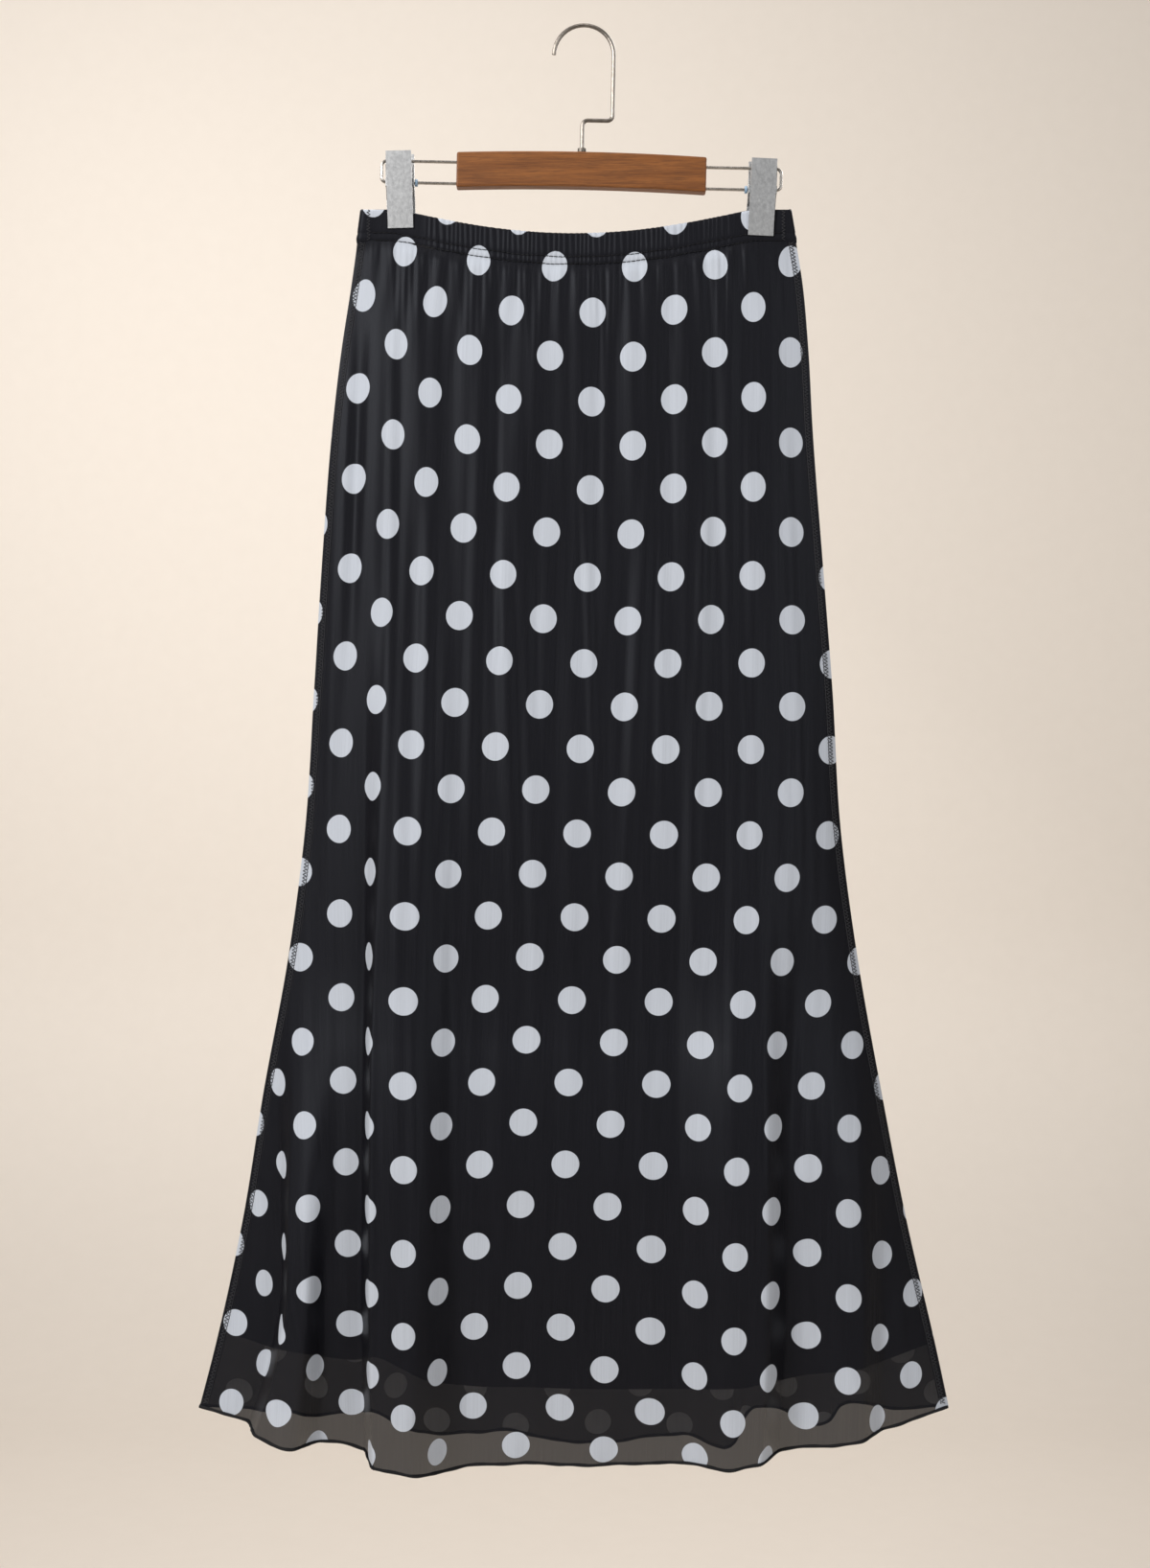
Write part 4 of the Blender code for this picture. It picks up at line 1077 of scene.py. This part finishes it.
def plastic_look():
    shader = Shader("clear plastic stop")
    cloud = shader.noise(shader.place(), (500.0, 500.0, 500.0))
    colour = shader.blend(cloud, (0.20, 0.34, 0.50), (0.42, 0.56, 0.70))
    shader.set(Base_Color=colour, Roughness=0.3, Alpha=0.9)
    return shader.material


def finish_hanger():
    """Looks for the hanger's nodes, which keep their CAD shape."""
    looks = {
        "stained_wood": wood_look(),
        "satin_steel": steel_look("bright satin steel", (0.57, 0.58, 0.59), (0.69, 0.70, 0.71), 0.36),
        "plastic_stop": plastic_look(),
    }
    wire = steel_look("drawn steel wire", (0.35, 0.325, 0.295), (0.51, 0.475, 0.44), 0.28)
    hook = steel_look("dulled steel wire", (0.165, 0.144, 0.123), (0.245, 0.221, 0.197), 0.34)
    for part in frame["record"]["subparts"]:
        look = looks.get(part["material_slot"])
        if look is None:
            continue
        if part["node"].startswith("wire_loop"):
            look = wire
        if part["node"].startswith("hook"):
            look = hook
        mesh = frame["nodes"][part["node"]].data
        mesh.materials.clear()
        mesh.materials.append(look)


def make_stage():
    """A pale floor that turns up into a plain backdrop, well away from the skirt; the floor carries painted
    shade, darker towards its bottom.
    """
    shader = Shader("pale studio surface")
    place = shader.place()
    grain = shader.noise(place, (30.0, 30.0, 30.0), 3.0)
    parts = shader.node("ShaderNodeSeparateXYZ")
    shader.link(place, parts.inputs[0])
    pale = shader.blend(grain, (0.80, 0.735, 0.662), (0.83, 0.765, 0.692))
    # Painted shade: the floor is coloured darker towards its lowest part, standing in for the dimmer light
    # there
    low = shader.blend(grain, (0.67, 0.61, 0.545), (0.69, 0.63, 0.565))
    height = shader.spread(parts.outputs[2], STAGE_FLOOR, STAGE_SHADE_TOP)
    shader.set(Base_Color=shader.blend(height, low, pale), Roughness=0.9)
    bend_start = STAGE_BACK - STAGE_BEND
    profile = [(STAGE_FRONT, STAGE_FLOOR), (bend_start, STAGE_FLOOR)]
    for i in range(1, STAGE_BEND_STEPS + 1):
        turn = math.radians(90 * i / STAGE_BEND_STEPS)
        rise = STAGE_BEND * (1 - math.cos(turn))
        profile.append((bend_start + STAGE_BEND * math.sin(turn), STAGE_FLOOR + rise))
    profile.append((STAGE_BACK, STAGE_TOP))
    points = np.array([(x, y, z) for y, z in profile for x in (-STAGE_HALF, STAGE_HALF)]) / MM
    stage = mesh_object("studio_floor", points, grid_faces(len(profile), 2), shader.material)


def area_light(name, place, aim, width, height, power, colour):
    data = bpy.data.lights.new(name, "AREA")
    data.shape = "RECTANGLE"
    data.size = width
    data.size_y = height
    data.energy = power
    data.color = colour
    lamp = bpy.data.objects.new(name, data)
    lamp.location = place
    lamp.rotation_euler = (Vector(aim) - Vector(place)).to_track_quat("-Z", "Y").to_euler()
    bpy.context.scene.collection.objects.link(lamp)


def make_lights():
    for light in LIGHTS:
        area_light(**dict(zip(LIGHT_COLUMNS, light)))
    world = bpy.data.worlds.new("studio air")
    world.use_nodes = True
    background = world.node_tree.nodes["Background"]
    background.inputs["Color"].default_value = WORLD_COLOUR
    background.inputs["Strength"].default_value = WORLD_STRENGTH
    bpy.context.scene.world = world
    bpy.context.scene.view_settings.view_transform = "Standard"


def make_camera():
    """Straight at the skirt's front, as the photograph was taken."""
    data = bpy.data.cameras.new("camera")
    data.sensor_fit = "VERTICAL"
    data.sensor_height = CAMERA_SENSOR
    data.lens = CAMERA_LENS
    camera = bpy.data.objects.new("camera", data)
    camera.location = CAMERA_PLACE
    camera.rotation_euler = (math.radians(90), 0.0, 0.0)
    bpy.context.scene.collection.objects.link(camera)
    bpy.context.scene.camera = camera


make_camera()
front_look = dotted_mesh("sheer dotted mesh", MESH_COVER, FRONT_DOT_COVER, MESH_GLOSS)
back_look = dotted_mesh("sheer dotted mesh, rear", MESH_COVER, BACK_DOT_COVER, MESH_GLOSS)
band_look = dotted_mesh("dotted casing", CASING_COVER, CASING_COVER, CASING_GLOSS)
panels = make_panels({"front": front_look, "back": back_look})
linings = make_linings(plain_lining())
band = make_band(band_look)
thread = thread_look("black thread", (0.010, 0.010, 0.012))
hems = make_hems(thread)
stitches = make_stitches(thread)
seams = make_side_seams(thread_look("overlock thread", (0.05, 0.05, 0.056)))
finish_hanger()
make_stage()
make_lights()
